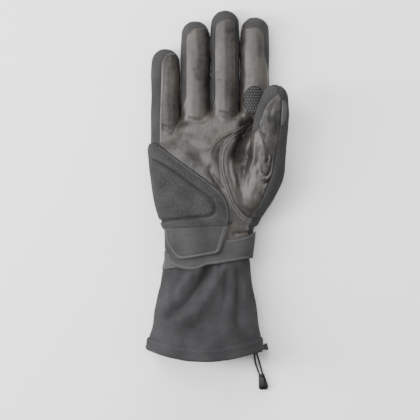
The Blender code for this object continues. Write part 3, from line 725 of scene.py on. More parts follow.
def finger_middle_field(points):
    finger = nearest_finger(points)
    planes = np.array([SPLITS[name][1] * MM for name in FINGERS])
    thumb, _ = on_thumb(points)
    return np.where(thumb > -1.0 * MM, -1.0, points[:, 1] - planes[finger])


def thumb_middle_field(points):
    thumb, own = on_thumb(points)
    return np.where(thumb > -1.0 * MM, own[:, 1] - THUMB_SPLIT, -1.0)


def thumb_root_field(points):
    thumb, own = on_thumb(points)
    return np.where(thumb > -1.0 * MM, own[:, 1] - (CROTCH - 2 * MM), -1.0)


def thumb_panel_field(points):
    """+ on the thumb's side of the seam that joins its panel to the palm."""
    return signed_side(points, thumb_panel_seam)


def wrist_field(points):
    return points[:, 1] - (wrist_y - 5 * MM)


def split_along(bm, field, level=0.0):
    """Cuts the faces where a field changes sign, so that they can be parted on a clean line."""
    bm.verts.index_update()
    points = np.array([vert.co for vert in bm.verts])
    value = field(points) - level
    value[np.abs(value) < 0.02 * MM] = 0
    shares = {}
    for edge in bm.edges:
        a, b = value[edge.verts[0].index], value[edge.verts[1].index]
        if a * b < 0 and abs(a - b) < 20 * MM:
            shares[edge] = float(a / (a - b))
    if shares:
        made = bmesh.ops.subdivide_edges(bm, edges=list(shares), cuts=1, edge_percents=shares,
                                         quad_corner_type="STRAIGHT_CUT")
        new = [item for item in made["geom_inner"] if isinstance(item, bmesh.types.BMVert)]
        on_line = [vert for vert, v in zip(list(bm.verts)[:len(value)], value) if v == 0]
        bmesh.ops.connect_verts(bm, verts=new + on_line)


def face_centres(bm):
    return np.array([face.calc_center_median() for face in bm.faces])


PANELS = ["palm_leather", "thumb_leather_panel", "hand_softshell"]
for name in FINGERS:
    for half in ("lower", "upper"):
        PANELS += [f"{name}_leather_{half}", f"{name}_softshell_{half}"]
PANELS += ["thumb_leather_lower", "thumb_softshell_lower", "thumb_leather_upper", "thumb_softshell_upper"]


def cut_panels():
    """Cuts the shell along its seams and numbers each face by the panel it belongs to."""
    bm = bmesh.new()
    bm.from_mesh(last.data)
    for field in (wrist_field, leather_field, thumb_panel_field, finger_base_field, finger_middle_field,
                  thumb_root_field, thumb_middle_field):
        split_along(bm, field)
    spots = face_centres(bm)
    leather = leather_field(spots) > 0
    finger = nearest_finger(spots)
    past_base = finger_base_field(spots) > 0
    past_middle = finger_middle_field(spots) > 0
    thumb_free = thumb_root_field(spots) > 0
    thumb_far = thumb_middle_field(spots) > 0
    beyond_seam = ((thumb_panel_field(spots) > 0) & (spots[:, 1] < 60.5 * MM)
                   & (spots[:, 0] > 8 * MM) & ~past_base)
    panel = np.where(leather, np.where(beyond_seam, 1, 0), 2)
    of_finger = 3 + finger * 4 + np.where(past_middle, 2, 0) + np.where(leather, 0, 1)
    panel = np.where(past_base, of_finger, panel)
    panel = np.where(thumb_free, 19 + np.where(thumb_far, 2, 0) + np.where(leather, 0, 1), panel)
    past_wrist = wrist_field(spots) < 0
    for face, number in zip(bm.faces, panel):
        face.material_index = int(number)
    gone = [face for face, is_gone in zip(bm.faces, past_wrist) if is_gone]
    bmesh.ops.delete(bm, geom=gone, context="FACES")
    bm.to_mesh(last.data)
    bm.free()


cut_panels()


# The shell's own shape: what sewing and wear do to it. Seams pull in, the leather gathers across each
# bend, and the thumb's mound and its web fold lengthwise.
def ends_fade(along, fade):
    return smooth_step(0, fade, along) * (1 - smooth_step(1 - fade, 1, along))


def valley(points, line, width, depth, fade=0.25):
    """A rounded groove along a line seen from above. A minus depth is a ridge."""
    line = mm_line(line)
    reach = 3.5 * width * MM
    near = ((points[:, 0] > line[:, 0].min() - reach) & (points[:, 0] < line[:, 0].max() + reach)
            & (points[:, 1] > line[:, 1].min() - reach) & (points[:, 1] < line[:, 1].max() + reach))
    found = np.zeros(len(points))
    if near.any():
        gap, _, along = line_distance(points[near], smooth_line(line, 2.5 * MM))
        found[near] = -depth * MM * np.exp(-(gap / (width * MM)) ** 2) * ends_fade(along, fade)
    return found


def drift(points, size, seed):
    """Smooth noise, about -1 to 1, with features of the given sizes along X, Y and Z in millimetres."""
    scale = 1000.0 / np.asarray(size, float)
    return np.array([noise.noise(Vector(point * scale) + Vector((seed * 17.3, seed * 5.1, 0)))
                     for point in points])


PALM_FOLDS = [
    # across the base of each finger
    ((-30, 63.5), (-23, 61.0), (-16, 60.0), (-8, 61.5), 2.5, 1.0),
    ((-26, 55), (-18, 53.2), (-9, 55.4), 3.0, 0.5),
    ((-1, 69), (6.4, 66.6), (13, 64.4), (22, 63.2), 2.4, 1.0), ((0, 61), (9, 58.5), (19, 57), 2.6, 0.5),
    
    ((-53, 56), (-44, 53.0), (-35, 54.6), 2.4, 0.9), ((-50, 46), (-42, 44), (-32, 46), 2.2, 0.4),
    # across the palm, from the web of the thumb
    ((-6.7, 22), (-5.2, 12), (1.7, 1.6), (9.0, -8.4), 2.2, 2.0),
    ((-34, 40), (-14, 35), (0, 36), 4.0, 0.7), ((-45, 48), (-28, 50), (-12, 47), 3.4, 0.6),
    ((-44, 56), (-38, 40), (-24, 22), 6.0, -1.2), ((-32, 58), (-22, 38), (-8, 16), 5.0, 1.2),
    ((-18, 56), (-10, 42), (0, 14), 5.0, -0.9),
]
MOUND_FOLDS = [
    # the loop of leather that folds down beside the thumb, and the rolls round it
    ((37.5, 56), (38.9, 51), (43.6, 41.7), (47.0, 32.4), (48.0, 24.6), (46.6, 17.4), 1.1, 1.4),
    ((40.8, 45.0), (43.0, 35.0), (44.6, 26), (43.8, 19), 1.5, -0.6),
    ((50.4, 33), (51.0, 24), (50.0, 14), (46.0, 8.4), (42.4, 12), (41.4, 22), 1.3, 0.9),
    ((52.0, 20), (49.6, 6), (44.3, 1.6), (39.8, 7), (38.6, 16), (39.6, 26), 1.7, 0.6),
    ((36.8, 50), (35.4, 36.3), (34.3, 24.6), (31.9, 16.9), (29.6, 9), 1.7, -0.9),
    ((39.4, 38), (38.4, 26), (36, 14), 1.7, 0.7),
    ((31, 14), (28.2, 4), (28.4, -8), 1.9, 0.6), ((14.5, 29), (14.6, 16), (17.6, 4), (19.6, -6), 1.9, -0.8),
    ((18.5, 16), (21, 4), (22, -8), 2.2, 0.6), ((37, 0), (35, -10), (34, -20), 2.0, 0.4),
]
THUMB_FOLDS = [
    ((39.6, 64), (41.2, 54), (45, 45), 1.2, -0.9), ((52, 76), (50, 64), (51.4, 52), 2.0, 0.6),
]
HEEL_FOLDS = [
    ((11, -33), (15.5, -40), (19, -48), 2.2, 1.5), ((31, -36), (32, -41), (31, -48), 2.0, 1.1),
    ((23, -34), (25.5, -41), (26.5, -47), 2.8, -1.1), ((11, -45), (22, -44.5), (36, -42.5), 1.8, 1.3),
]


def sculpt(points, normals):
    x, y, z = points.T
    upper = smooth_step(17 * MM, 27 * MM, z)
    leather = leather_field(points)
    thumb, own = on_thumb(points)
    free = smooth_step(0, 1.5 * MM, thumb)
    palm = (1 - free) * upper
    push = np.zeros(len(points))

    # every seam pulls in, with a soft roll of leather beside it
    push -= 0.45 * MM * np.exp(-(leather / (0.55 * MM)) ** 2)
    push += 0.28 * MM * np.exp(-((leather - 1.5 * MM) / (0.9 * MM)) ** 2)
    panel = thumb_panel_field(points)
    push -= 0.5 * MM * np.exp(-(panel / (0.6 * MM)) ** 2) * palm
    push += 0.2 * MM * np.exp(-((panel - 2.0 * MM) / (1.4 * MM)) ** 2) * palm

    for *line, width, depth in PALM_FOLDS + HEEL_FOLDS:
        push += valley(points, line, width, depth) * palm
    for *line, width, depth in MOUND_FOLDS:
        push += valley(points, line, width, depth, 0.3) * upper
    for *line, width, depth in THUMB_FOLDS:
        push += valley(points, line, width, depth) * free * smooth_step(0, 6 * MM, own[:, 2])
    # the fold that stands up between the thumb's seam and the palm, and the deep hollow of the web
    push += valley(points, [(29, 58.4), (19.5, 51.8), (11, 47.9), (3.2, 43.4), (-2.0, 37.6), (-7.2, 28)],
                   1.5, -1.5, 0.2) * palm
    push += valley(points, [(25, 50.5), (14, 44.5), (6.6, 36.5), (3, 26), (4.4, 12)], 3.2, 1.2, 0.3) * palm
    push += valley(points, [(57.4, 95), (57.6, 84)], 0.8, 0.8, 0.1) * free
    push += valley(points, [(33, 70), (29.6, 57), (26.2, 44), (22.4, 31), (16.5, 19)], 5.4, 14.5, 0.25) * palm

    # rolls across the fingers where they bend, front only, and gathers round each tip
    for name in FINGERS:
        across = finger_mid[name] * 1000
        half = finger_half[name] * 1000
        bend = mid_joint[name] * 1000
        for shift, width, depth in ((-3.5, 1.5, 0.22), (1.5, 1.4, 0.16), (-10, 2.0, 0.15)):
            line = [(across - half * 0.72, bend + shift + 0.8), (across, bend + shift - 0.8),
                    (across + half * 0.7, bend + shift + 0.5)]
            push += valley(points, line, width, depth) * (1 - free) * upper
    turn = drift(points, (3.2, 26, 3.2), 1)
    long_folds = np.where(leather > 0, 0.20, 0.10) * MM * turn
    push += long_folds * smooth_step(0.2 * MM, 2.5 * MM, np.abs(leather))
    push += 0.30 * MM * drift(points, (20, 30, 20), 2) * (1 - free * 0.3)
    push += 0.06 * MM * drift(points, (5, 6, 5), 3)
    tips = np.zeros(len(points))
    for k, name in enumerate(FINGERS):
        tips = np.maximum(tips,
                          smooth_step(finger_tip[name] - 17 * MM, finger_tip[name] - 7 * MM, y)
                          * (nearest_finger(points) == k) * (1 - free))
    angle = drift(points, (3.0, 9.0, 3.0), 4)
    push += 0.35 * MM * angle * tips

    shaped = points + normals * push[:, None]
    # the underside lies on the table
    low = shaped[:, 2]
    lies_at, turns_at, roundness = 0.1 * MM, 0.2 * MM, 0.25 * MM
    flattened = lies_at + roundness * np.log1p(np.exp(np.clip((low - turns_at) / roundness, -40, 40)))
    shaped[:, 2] = np.where(low < 1.2 * MM, flattened, low)
    return shaped


set_points(last.data, sculpt(mesh_points(last.data), mesh_normals(last.data)))


# The panels. Full-grain leather on the palm side, soft and lightly glossy, and stretch softshell
# on the back and round the fingertips; each is parted from the shell, and the palm's panels are attached to
# the hand.
def leather_material():
    material, tree, shader, place = new_material("grey_leather", 0.42)
    pores = add_node(tree, "TexVoronoi", Vector=place, Scale=1150.0)
    pores.feature = "DISTANCE_TO_EDGE"
    creases = add_node(tree, "TexNoise", Vector=place, Scale=170.0, Detail=6.0, Roughness=0.62)
    broad = add_node(tree, "TexNoise", Vector=place, Scale=28.0, Detail=3.0)
    mixed = add_node(tree, "Math")
    mixed.operation = "MULTIPLY_ADD"
    tree.links.new(creases.outputs["Fac"], mixed.inputs[0])
    mixed.inputs[1].default_value = 0.6
    tree.links.new(broad.outputs["Fac"], mixed.inputs[2])
    ramp = tint(tree, shader, mixed.outputs["Value"], (0.0036, 0.0031, 0.0026), (0.046, 0.0403, 0.0352))
    ramp.color_ramp.elements[0].position = 0.55
    ramp.color_ramp.elements[1].position = 1.0
    fine = emboss(tree, shader, pores.outputs["Distance"], 0.00018, 0.35)
    emboss(tree, shader, creases.outputs["Fac"], 0.0008, 0.5, under=fine)
    shine = tree.nodes.new("ShaderNodeMapRange")
    tree.links.new(creases.outputs["Fac"], shine.inputs["Value"])
    shine.inputs["To Min"].default_value = 0.33
    shine.inputs["To Max"].default_value = 0.52
    shader.inputs["Specular IOR Level"].default_value = 0.42
    tree.links.new(shine.outputs["Result"], shader.inputs["Roughness"])
    return material


def weave_material(name, dark, light, pitch, roughness=0.9, depth=0.00018, fleck=0.0):
    """A fine woven or knitted cloth with a slight nap."""
    material, tree, shader, place = new_material(name, roughness)
    across = add_node(tree, "TexWave", Vector=place, Scale=pitch, Distortion=1.2)
    across.bands_direction = "X"
    tree.nodes.active = across
    along = add_node(tree, "TexWave", Vector=place, Scale=pitch, Distortion=1.2)
    along.bands_direction = "Y"
    woven = add_node(tree, "Math")
    woven.operation = "MULTIPLY"
    tree.links.new(across.outputs["Fac"], woven.inputs[0])
    tree.links.new(along.outputs["Fac"], woven.inputs[1])
    nap = add_node(tree, "TexNoise", Vector=place, Scale=620.0 if fleck else 850.0, Detail=4.0, Roughness=0.7)
    broad = add_node(tree, "TexNoise", Vector=place, Scale=45.0, Detail=4.0)
    blend = add_node(tree, "Math")
    blend.operation = "MULTIPLY_ADD"
    tree.links.new(nap.outputs["Fac"], blend.inputs[0])
    blend.inputs[1].default_value = 0.5 + fleck
    tree.links.new(broad.outputs["Fac"], blend.inputs[2])
    share = add_node(tree, "Math")
    share.operation = "DIVIDE"
    tree.links.new(blend.outputs["Value"], share.inputs[0])
    share.inputs[1].default_value = 1 + fleck
    ramp = tint(tree, shader, share.outputs["Value"], dark, light)
    ramp.color_ramp.elements[0].position = (0.45 + 0.4 * fleck) / (1 + fleck)
    ramp.color_ramp.elements[1].position = (1.05 + 0.6 * fleck) / (1 + fleck)
    first = emboss(tree, shader, woven.outputs["Value"], depth, 0.6)
    emboss(tree, shader, nap.outputs["Fac"], 0.00025, 0.5, under=first)
    shader.inputs["Specular IOR Level"].default_value = 0.18
    return material


leather_skin = leather_material()
softshell = weave_material("softshell_knit", grey(0.022), grey(0.045), 1500.0)


def part_shell():
    """Parts the shell into its panels, each with the whole shell's shading at its edges."""
    mesh = last.data
    for face in mesh.polygons:
        face.use_smooth = True
    for panel in PANELS:
        mesh.materials.append(softshell if "softshell" in panel else leather_skin)
    store = mesh.attributes.new("shell_normal", "FLOAT_VECTOR", "POINT")
    store.data.foreach_set("vector", mesh_normals(mesh).astype(np.float32).reshape(-1))
    bm = bmesh.new()
    bm.from_mesh(mesh)
    pieces = {}
    for number, panel in enumerate(PANELS):
        part = bm.copy()
        others = [face for face in part.faces if face.material_index != number]
        bmesh.ops.delete(part, geom=others, context="FACES")
        for face in part.faces:
            face.material_index = 0
        piece_mesh = bpy.data.meshes.new(panel)
        part.to_mesh(piece_mesh)
        part.free()
        material = softshell if "softshell" in panel else leather_skin
        pieces[panel] = add_object(panel, piece_mesh, material)
        normals = np.empty(len(piece_mesh.vertices) * 3, np.float32)
        piece_mesh.attributes["shell_normal"].data.foreach_get("vector", normals)
        piece_mesh.normals_split_custom_set_from_vertices(normals.reshape(-1, 3))
        piece_mesh.attributes.remove(piece_mesh.attributes["shell_normal"])
        print("panel", panel, len(piece_mesh.polygons))
    bm.free()
    return pieces


skin_tree = BVHTree.FromObject(last, bpy.context.evaluated_depsgraph_get())
pieces = part_shell()
bpy.data.objects.remove(last)

for panel in ("palm_leather", "thumb_leather_panel", "hand_softshell"):
    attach(pieces[panel], "hand")
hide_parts("palm_leather")
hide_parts("mound_leather")
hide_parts("hand_back", "mound_back", "mound_lining")
for name in FINGERS:
    for half, from_body, to_body, (start, end) in (("lower", "hand", f"{name}_lower", BENDS[name][0]),
                                                   ("upper", f"{name}_lower", f"{name}_upper",
                                                    BENDS[name][1])):
        for cloth, node in (("leather", "leather"), ("softshell", "back")):
            piece = pieces[f"{name}_{cloth}_{half}"]
            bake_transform(piece)
            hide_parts(f"{name}_{node}_{half}")
        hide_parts(f"{name}_lining_{half}")


for half, from_body, to_body, (start, end) in (("lower", "hand", "thumb_lower", THUMB_BENDS[0]),
                                               ("upper", "thumb_lower", "thumb_upper", THUMB_BENDS[1])):
    for cloth, node in (("leather", "leather"), ("softshell", "back")):
        piece = pieces[f"thumb_{cloth}_{half}"]
        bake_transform(piece)
        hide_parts(f"thumb_{node}_{half}")
    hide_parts(f"thumb_lining_{half}")


# The grip patch on the index finger and the side patch of the thumb: thin rubbery sheets bonded to the
# leather, the first with small raised dots.
def rim(distance, radius):
    """A rounded edge: 0 at a panel's edge and 1 from a radius inside it."""
    t = np.clip(distance / radius, 0, 1)
    return np.sqrt(1 - (1 - t) ** 2)


def tube_panel(name, tube, field, turns, rows, height, material, levels=(), pitch=0.8 * MM, warp=None):
    """A panel that lies on a tube, trimmed on a field and raised by height(field, points)."""
    bm = bmesh.new()
    pitch = pitch
    mean = float(np.linalg.norm(np.ptp(tube.points(np.linspace(*turns, 30), (rows[0] + rows[1]) / 2),
                                       axis=0)))
    wide = max(6, int(mean * 1.3 / pitch))
    long = max(6, int((rows[1] - rows[0]) / pitch))
    bmesh.ops.create_grid(bm, x_segments=wide, y_segments=long, size=0.5)
    for vert in bm.verts:
        turn = turns[1] - (vert.co.x + 0.5) * (turns[1] - turns[0])
        vert.co = (-turn, rows[0] + (vert.co.y + 0.5) * (rows[1] - rows[0]), 0)

    def on_tube(flat):
        return tube.points(-flat[:, 0], flat[:, 1])

    for level in (0.0, *levels):
        split_along(bm, lambda flat: field(on_tube(flat)), level)
    spots = face_centres(bm)
    outside = field(on_tube(spots)) < 0
    bmesh.ops.delete(bm, geom=[face for face, out in zip(bm.faces, outside) if out], context="FACES")
    flat = np.array([vert.co for vert in bm.verts])
    base = on_tube(flat)
    inside = np.clip(field(base), 0, None)
    places = tube.points(-flat[:, 0], flat[:, 1], height(inside, base))
    if warp is not None:
        places = warp(places)
    for vert, place in zip(bm.verts, places):
        vert.co = place
    bmesh.ops.dissolve_degenerate(bm, dist=0.01 * MM, edges=bm.edges[:])
    mesh = bpy.data.meshes.new(name)
    bm.to_mesh(mesh)
    bm.free()
    return add_object(name, mesh, material)


def rubber_material(name, dark, light, roughness):
    material, tree, shader, place = new_material(name, roughness)
    shader.inputs["Specular IOR Level"].default_value = 0.25
    speck = add_node(tree, "TexNoise", Vector=place, Scale=900.0, Detail=5.0)
    tint(tree, shader, speck.outputs["Fac"], grey(dark), grey(light))
    emboss(tree, shader, speck.outputs["Fac"], 0.0002, 0.5)
    return material


def beads(name, spots, material, steps=1):
    """Small rounded solids, one for each (matrix), in one mesh."""
    bm = bmesh.new()
    for spot in spots:
        bmesh.ops.create_icosphere(bm, subdivisions=steps, radius=1.0, matrix=spot)
    mesh = bpy.data.meshes.new(name)
    bm.to_mesh(mesh)
    bm.free()
    return add_object(name, mesh, material)


def surface_tree(*items):
    points, faces = [], []
    for item in items:
        start = len(points)
        points += [vert.co.copy() for vert in item.data.vertices]
        faces += [[start + corner for corner in face.vertices] for face in item.data.polygons]
    return BVHTree.FromPolygons(points, faces)


def bead_spot(tree, x, y, run, size, lift, turn=0.0):
    """A matrix that lays a bead on a surface seen from above, its length along the run."""
    hit, normal, _, _ = tree.ray_cast(Vector((x, y, 0.2)), Vector((0, 0, -1)))
    if hit is None:
        return None
    if normal.z < 0:
        normal = -normal
    run = Vector((run[0], run[1], 0))
    run = Matrix.Rotation(turn, 3, "Z") @ run
    run = (run - normal * run.dot(normal)).normalized()
    across = normal.cross(run)
    frame_matrix = Matrix((run, across, normal)).transposed().to_4x4()
    return Matrix.Translation(hit + normal * lift) @ frame_matrix @ Matrix.Diagonal((*size, 1))


def stitches(name, tree, path, material, length=2.1 * MM, gap=0.8 * MM, width=0.5 * MM, shift=0.0,
             zigzag=0.0, lift=0.1 * MM):
    """A row of stitches along a path seen from above, a shift to its left."""
    path = np.asarray(path, float)[:, :2]
    steps = np.linalg.norm(np.diff(path, axis=0), axis=1)
    total = np.concatenate([[0], np.cumsum(steps)])
    spots = []
    for k, at in enumerate(np.arange(length / 2, total[-1] - length / 2, length + gap)):
        i = min(int(np.searchsorted(total, at, side="right")) - 1, len(steps) - 1)
        t = (at - total[i]) / steps[i]
        run = (path[i + 1] - path[i]) / steps[i]
        spot = path[i] + (path[i + 1] - path[i]) * t + np.array([-run[1], run[0]]) * shift
        turn = zigzag if k % 2 else -zigzag
        found = bead_spot(tree, *spot, run, (length / 2, width / 2, width * 0.36), lift, turn)
        if found is not None:
            spots.append(found)
    return beads(name, spots, material)


def thread_material(name, dark, light):
    material, tree, shader, place = new_material(name, 0.6)
    twist = add_node(tree, "TexWave", Vector=place, Scale=1600.0, Distortion=2.0)
    twist.bands_direction = "DIAGONAL"
    tint(tree, shader, twist.outputs["Fac"], grey(dark), grey(light))
    emboss(tree, shader, twist.outputs["Fac"], 0.0001, 0.6)
    return material


dark_thread = thread_material("charcoal_thread", 0.028, 0.055)
pale_thread = thread_material("grey_thread", 0.080, 0.150)
black_thread = thread_material("black_thread", 0.004, 0.012)
grip = rubber_material("grip_rubber", 0.004, 0.010, 0.6)
patch_film = rubber_material("bonded_side_film", 0.040, 0.065, 0.45)


def grip_field(points):
    reach = np.hypot((points[:, 0] - 35.2 * MM) / 10.6, (points[:, 1] - 79.6 * MM) / 13.4)
    return np.minimum((1 * MM - reach) * 10.6, points[:, 2] - 17 * MM)


grip_patch = tube_panel("index_grip_patch_sheet", finger_tubes["index"], grip_field, (0.1, 3.0),
                        (62 * MM, 96 * MM),
                        lambda inside, at: -0.5 * MM + 1.15 * MM * rim(inside, 0.7 * MM), grip,
                        (0.3 * MM, 0.8 * MM))
grip_tree = surface_tree(grip_patch)
dots = []
for row, y in enumerate(np.arange(67.0, 93.0, 2.6)):
    for x in np.arange(26.4 + (1.3 if row % 2 else 0), 44.5, 2.6):
        spot = np.array([[x, y, 25.0]]) * MM
        if grip_field(spot)[0] > 1.2 * MM:
            found = bead_spot(grip_tree, *spot[0][:2], (0, 1), (0.85 * MM, 0.85 * MM, 0.45 * MM), 0.05 * MM)
            if found is not None:
                dots.append(found)
grip_dots = beads("index_grip_dots", dots, rubber_material("grip_dot_rubber", 0.030, 0.055, 0.35), steps=2)
for piece in (grip_patch, grip_dots):
    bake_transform(piece)
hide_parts("index_grip_patch")


side_patch_outline = smooth_line(mm_line([
    (59.9, 82), (62.4, 79.6), (64.2, 74), (64.3, 66), (62.9, 59.6), (59.6, 55), (59.9, 64), (60.4, 73),
    (59.9, 82)]), 2 * MM)[:-1]


def side_patch_field(points):
    return np.minimum(within(points, side_patch_outline), points[:, 2] - 33 * MM)


side_patch = tube_panel("thumb_side_patch_film", thumb_tube, side_patch_field, (-0.6, 1.6),
                        (thumb_bend - 2 * MM, thumb_tip - 12 * MM),
                        lambda inside, at: -0.4 * MM + 0.9 * MM * rim(inside, 0.7 * MM), patch_film,
                        (0.3 * MM,))
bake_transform(side_patch)
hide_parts("thumb_side_patch")


# The heel guard: a foam pad under a quilted cover of heathered cloth, sewn to the palm round its edge
# and wrapped round the little finger's side of the hand.
guard_edge = smooth_line(mm_line([(-57.5, 40.4), (-52, 36.8), (-40, 28), (-24, 16.2), (-7.4, 4.2),
                                  (3.9, -5.4),
                                  (9.8, -14.5), (12.3, -25.5), (11.4, -33), (10.4, -41)]), 3 * MM)
guard_outline = np.vstack([mm_line([(-70, -41), (-70, 37.5), (-62.8, 39.2)]), guard_edge])
quilt_line = smooth_line(mm_line([(-70, 27), (-56, 23.6), (-38.8, 13.2), (-22, 0.4), (-8.2, -10.0),
                                  (-2.6, -17.6),
                                  (-2.6, -25.1), (-8.5, -28.2), (-18.6, -29.3), (-34, -31), (-49.4, -32.8),
                                  (-58, -33)]), 2.5 * MM)


def guard_field(points):
    return np.minimum(within(points, guard_outline), points[:, 2] - 12 * MM)


def guard_height(inside, at):
    gap, _, _ = line_distance(at, quilt_line)
    puffed = 1.3 * MM + 2.7 * MM * (1 - np.exp(-inside / (3.4 * MM)))
    groove = 2.3 * MM * np.exp(-(gap / (1.4 * MM)) ** 2) * smooth_step(-62 * MM, -50 * MM, at[:, 0])
    return (puffed - groove + 1.0 * MM) * rim(inside, 1.1 * MM) - 1.0 * MM


guard_cloth = weave_material("heathered_guard_cloth", grey(0.013), grey(0.050), 1300.0, 0.92, 0.0002, 0.7)
guard = tube_panel("heel_guard_pad", hand_tube, guard_field, (0.9, 3.75), (-41 * MM, 42 * MM), guard_height,
                   guard_cloth,
                   (0.35 * MM, 1.0 * MM, 2.0 * MM), 0.85 * MM)
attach(guard, "hand")
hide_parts("heel_guard_cover", "heel_guard_foam")
guard_tree = surface_tree(guard)
guard_seams = [
    stitches("quilt_stitches", guard_tree, quilt_line[4:], black_thread, 2.6 * MM, -0.8 * MM, 0.85 * MM,
             0.0, 1.35, 0.75 * MM),
    stitches("guard_edge_stitches", guard_tree, guard_edge[2:], pale_thread, 2.4 * MM, -0.6 * MM, 0.55 * MM,
             -1.9 * MM, 1.3),
]
for seam in guard_seams:
    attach(seam, "hand")


# The gauntlet cuff: softshell cut as a flare and sewn to the hand under the strap, with a bound hem that
# carries the drawcord, and a fleece lining inside.
def dip(points):
    """The hem's rounded end reaches further past its corners in the middle."""
    middle = (hem_low[0] + hem_high[0]) / 2
    half = (hem_high[0] - hem_low[0]) / 2
    share = 1 - np.clip(np.abs(points[:, 0] - middle) / half, 0, 1) ** 2
    moved = points.copy()
    moved[:, 1] -= HEM_DIP * share * (1 - smooth_step(hem_corner, wrist_y - 30 * MM, points[:, 1]))
    return moved


def sleeve(name, stops, material, sides=180, shape=None, inward=False, close_last=False):
    """A full turn of cloth on the hand's tube through stops of (y, offset)."""
    sides = sides
    bm = bmesh.new()
    rings = []
    for y, offset in stops:
        ring = bmesh.ops.create_circle(bm, radius=1.0, segments=sides)["verts"]
        turns = np.array([math.atan2(vert.co.y, vert.co.x) for vert in ring])
        for vert, place in zip(ring, hand_tube.points(turns, y, offset)):
            vert.co = place
        rings.append(list({edge for vert in ring for edge in vert.link_edges}))
    for near, far in zip(rings, rings[1:]):
        bmesh.ops.bridge_loops(bm, edges=near + far)
    if close_last:
        bmesh.ops.contextual_create(bm, geom=rings[-1])
    bmesh.ops.recalc_face_normals(bm, faces=bm.faces)
    middle = Vector((-8 * MM, 0, 25 * MM))
    test = next(iter(bm.faces))
    out = test.calc_center_median() - middle
    if (test.normal.x * out.x + test.normal.z * out.z < 0) != inward:
        bmesh.ops.reverse_faces(bm, faces=bm.faces[:])
    mesh = bpy.data.meshes.new(name)
    bm.to_mesh(mesh)
    bm.free()
    item = add_object(name, mesh, material)
    if shape is not None:
        set_points(mesh, shape(mesh_points(mesh), mesh_normals(mesh)))
    set_points(mesh, dip(mesh_points(mesh)))
    return item


CUFF_FOLDS = [
    ((-1, -66), (-8, -80), (-26, -103), (-55, -122), 4.0, 5.6, 0.2),
    ((9, -66), (1, -86), (-14, -108), (-44, -129), 5.5, -4.0, 0.25),
    ((-12, -68), (-22, -84), (-42, -102), 4.5, -3.0, 0.25),
    ((-5, -67), (-7, -74), (-12, -82), 2.2, 2.2, 0.3), ((3, -67), (3, -76), (1, -86), 2.0, 1.6, 0.3),
    ((-30, -72), (-34, -88), (-45, -102), 3.6, 1.8, 0.25),
    ((18, -68), (22, -90), (20, -116), (24, -134), 4.0, 2.6, 0.25),
    ((27, -68), (31, -88), (33, -112), 3.0, 2.0, 0.3),
    ((8, -72), (10, -92), (4, -118), 4.0, 2.2, 0.3),
    ((-16, -70), (-20, -84), (-24, -92), 2.6, 1.2, 0.3),
    ((-44, -76), (-50, -96), (-57, -118), 3.0, 1.2, 0.3),
    ((-38, -132), (-20, -137), (0, -136), 3.4, 0.8, 0.3),
]


def cuff_shape(points, normals):
    upper = smooth_step(12 * MM, 26 * MM, points[:, 2])
    push = np.zeros(len(points))
    for *line, width, depth, fade in CUFF_FOLDS:
        push += valley(points, line, width, depth, fade) * upper
    gathers = drift(points, (7, 40, 7), 6)
    near_wrist = 1 - smooth_step(0, 55 * MM, (wrist_y - 8 * MM) - points[:, 1])
    push += gathers * (0.35 + 1.1 * near_wrist) * MM
    push += drift(points, (30, 44, 30), 7) * 3.0 * MM + drift(points, (14, 30, 14), 10) * 1.3 * MM
    tucked = smooth_step(wrist_y - 7 * MM, wrist_y + 1 * MM, points[:, 1])
    quiet = smooth_step(hem_corner + 10 * MM, hem_corner + 28 * MM, points[:, 1])
    push = push * (0.15 + 0.85 * quiet) * (1 - tucked) - 1.5 * MM * tucked
    shaped = points + normals * push[:, None]
    shaped[:, 2] = np.maximum(shaped[:, 2], 0.3 * MM)
    return shaped


cuff_cloth = weave_material("cuff_softshell", (0.0180, 0.0180, 0.0190), (0.044, 0.0440, 0.0460), 1200.0,
                            0.9, 0.0002)
fleece = weave_material("fleece_lining", grey(0.012), grey(0.030), 500.0, 0.98, 0.0008)
cuff_rows = [(float(y), 0.0) for y in np.arange(wrist_y + 7 * MM, hem_corner + 2.5 * MM, -1.3 * MM)]
cuff_sleeve = sleeve("cuff_sleeve", cuff_rows, cuff_cloth, shape=cuff_shape)
hem_top = hem_corner + 12 * MM
hem_stops = [(hem_top - 0.2 * MM, -0.4 * MM), (hem_top, 0.5 * MM), (hem_top - 0.4 * MM, 0.95 * MM),
             (hem_top - 1.2 * MM, 1.1 * MM)]
hem_stops += [(hem_top - k * MM, (1.1 + 0.25 * math.sin(k * 0.62)) * MM)
              for k in (2.2, 3.0, 3.8, 4.8, 6, 7.2, 8.4, 9.6, 10.6)]
hem_stops += [(hem_corner + 0.5 * MM, 0.8 * MM), (hem_corner + 0.1 * MM, 0.2 * MM), (hem_corner, -0.6 * MM),
              (hem_corner + 0.2 * MM, -1.6 * MM), (hem_corner + 0.8 * MM, -2.3 * MM),
              (hem_corner + 2.5 * MM, -2.7 * MM),
              (hem_corner + 6 * MM, -2.9 * MM)]


def hem_shape(points, normals):
    wobble = drift(points, (9, 60, 9), 8) * 0.3 * MM
    shaped = points + normals * wobble[:, None]
    shaped[:, 2] = np.maximum(shaped[:, 2], 0.05 * MM)
    return shaped


hem = sleeve("cuff_hem_band", hem_stops, cuff_cloth, shape=hem_shape)
lining_stops = [(hem_corner + 3.5 * MM, -2.6 * MM)]
for y in np.arange(hem_corner + 5 * MM, wrist_y + 60 * MM, 2.5 * MM):
    lining_stops.append((float(y),
                         -3.2 * MM - 4.3 * MM
                         * float(smooth_step(hem_corner + 10 * MM, hem_corner + 26 * MM, y))))


def fleece_shape(points, normals):
    return points + normals * (drift(points, (6, 8, 6), 9) * 0.5 * MM)[:, None]


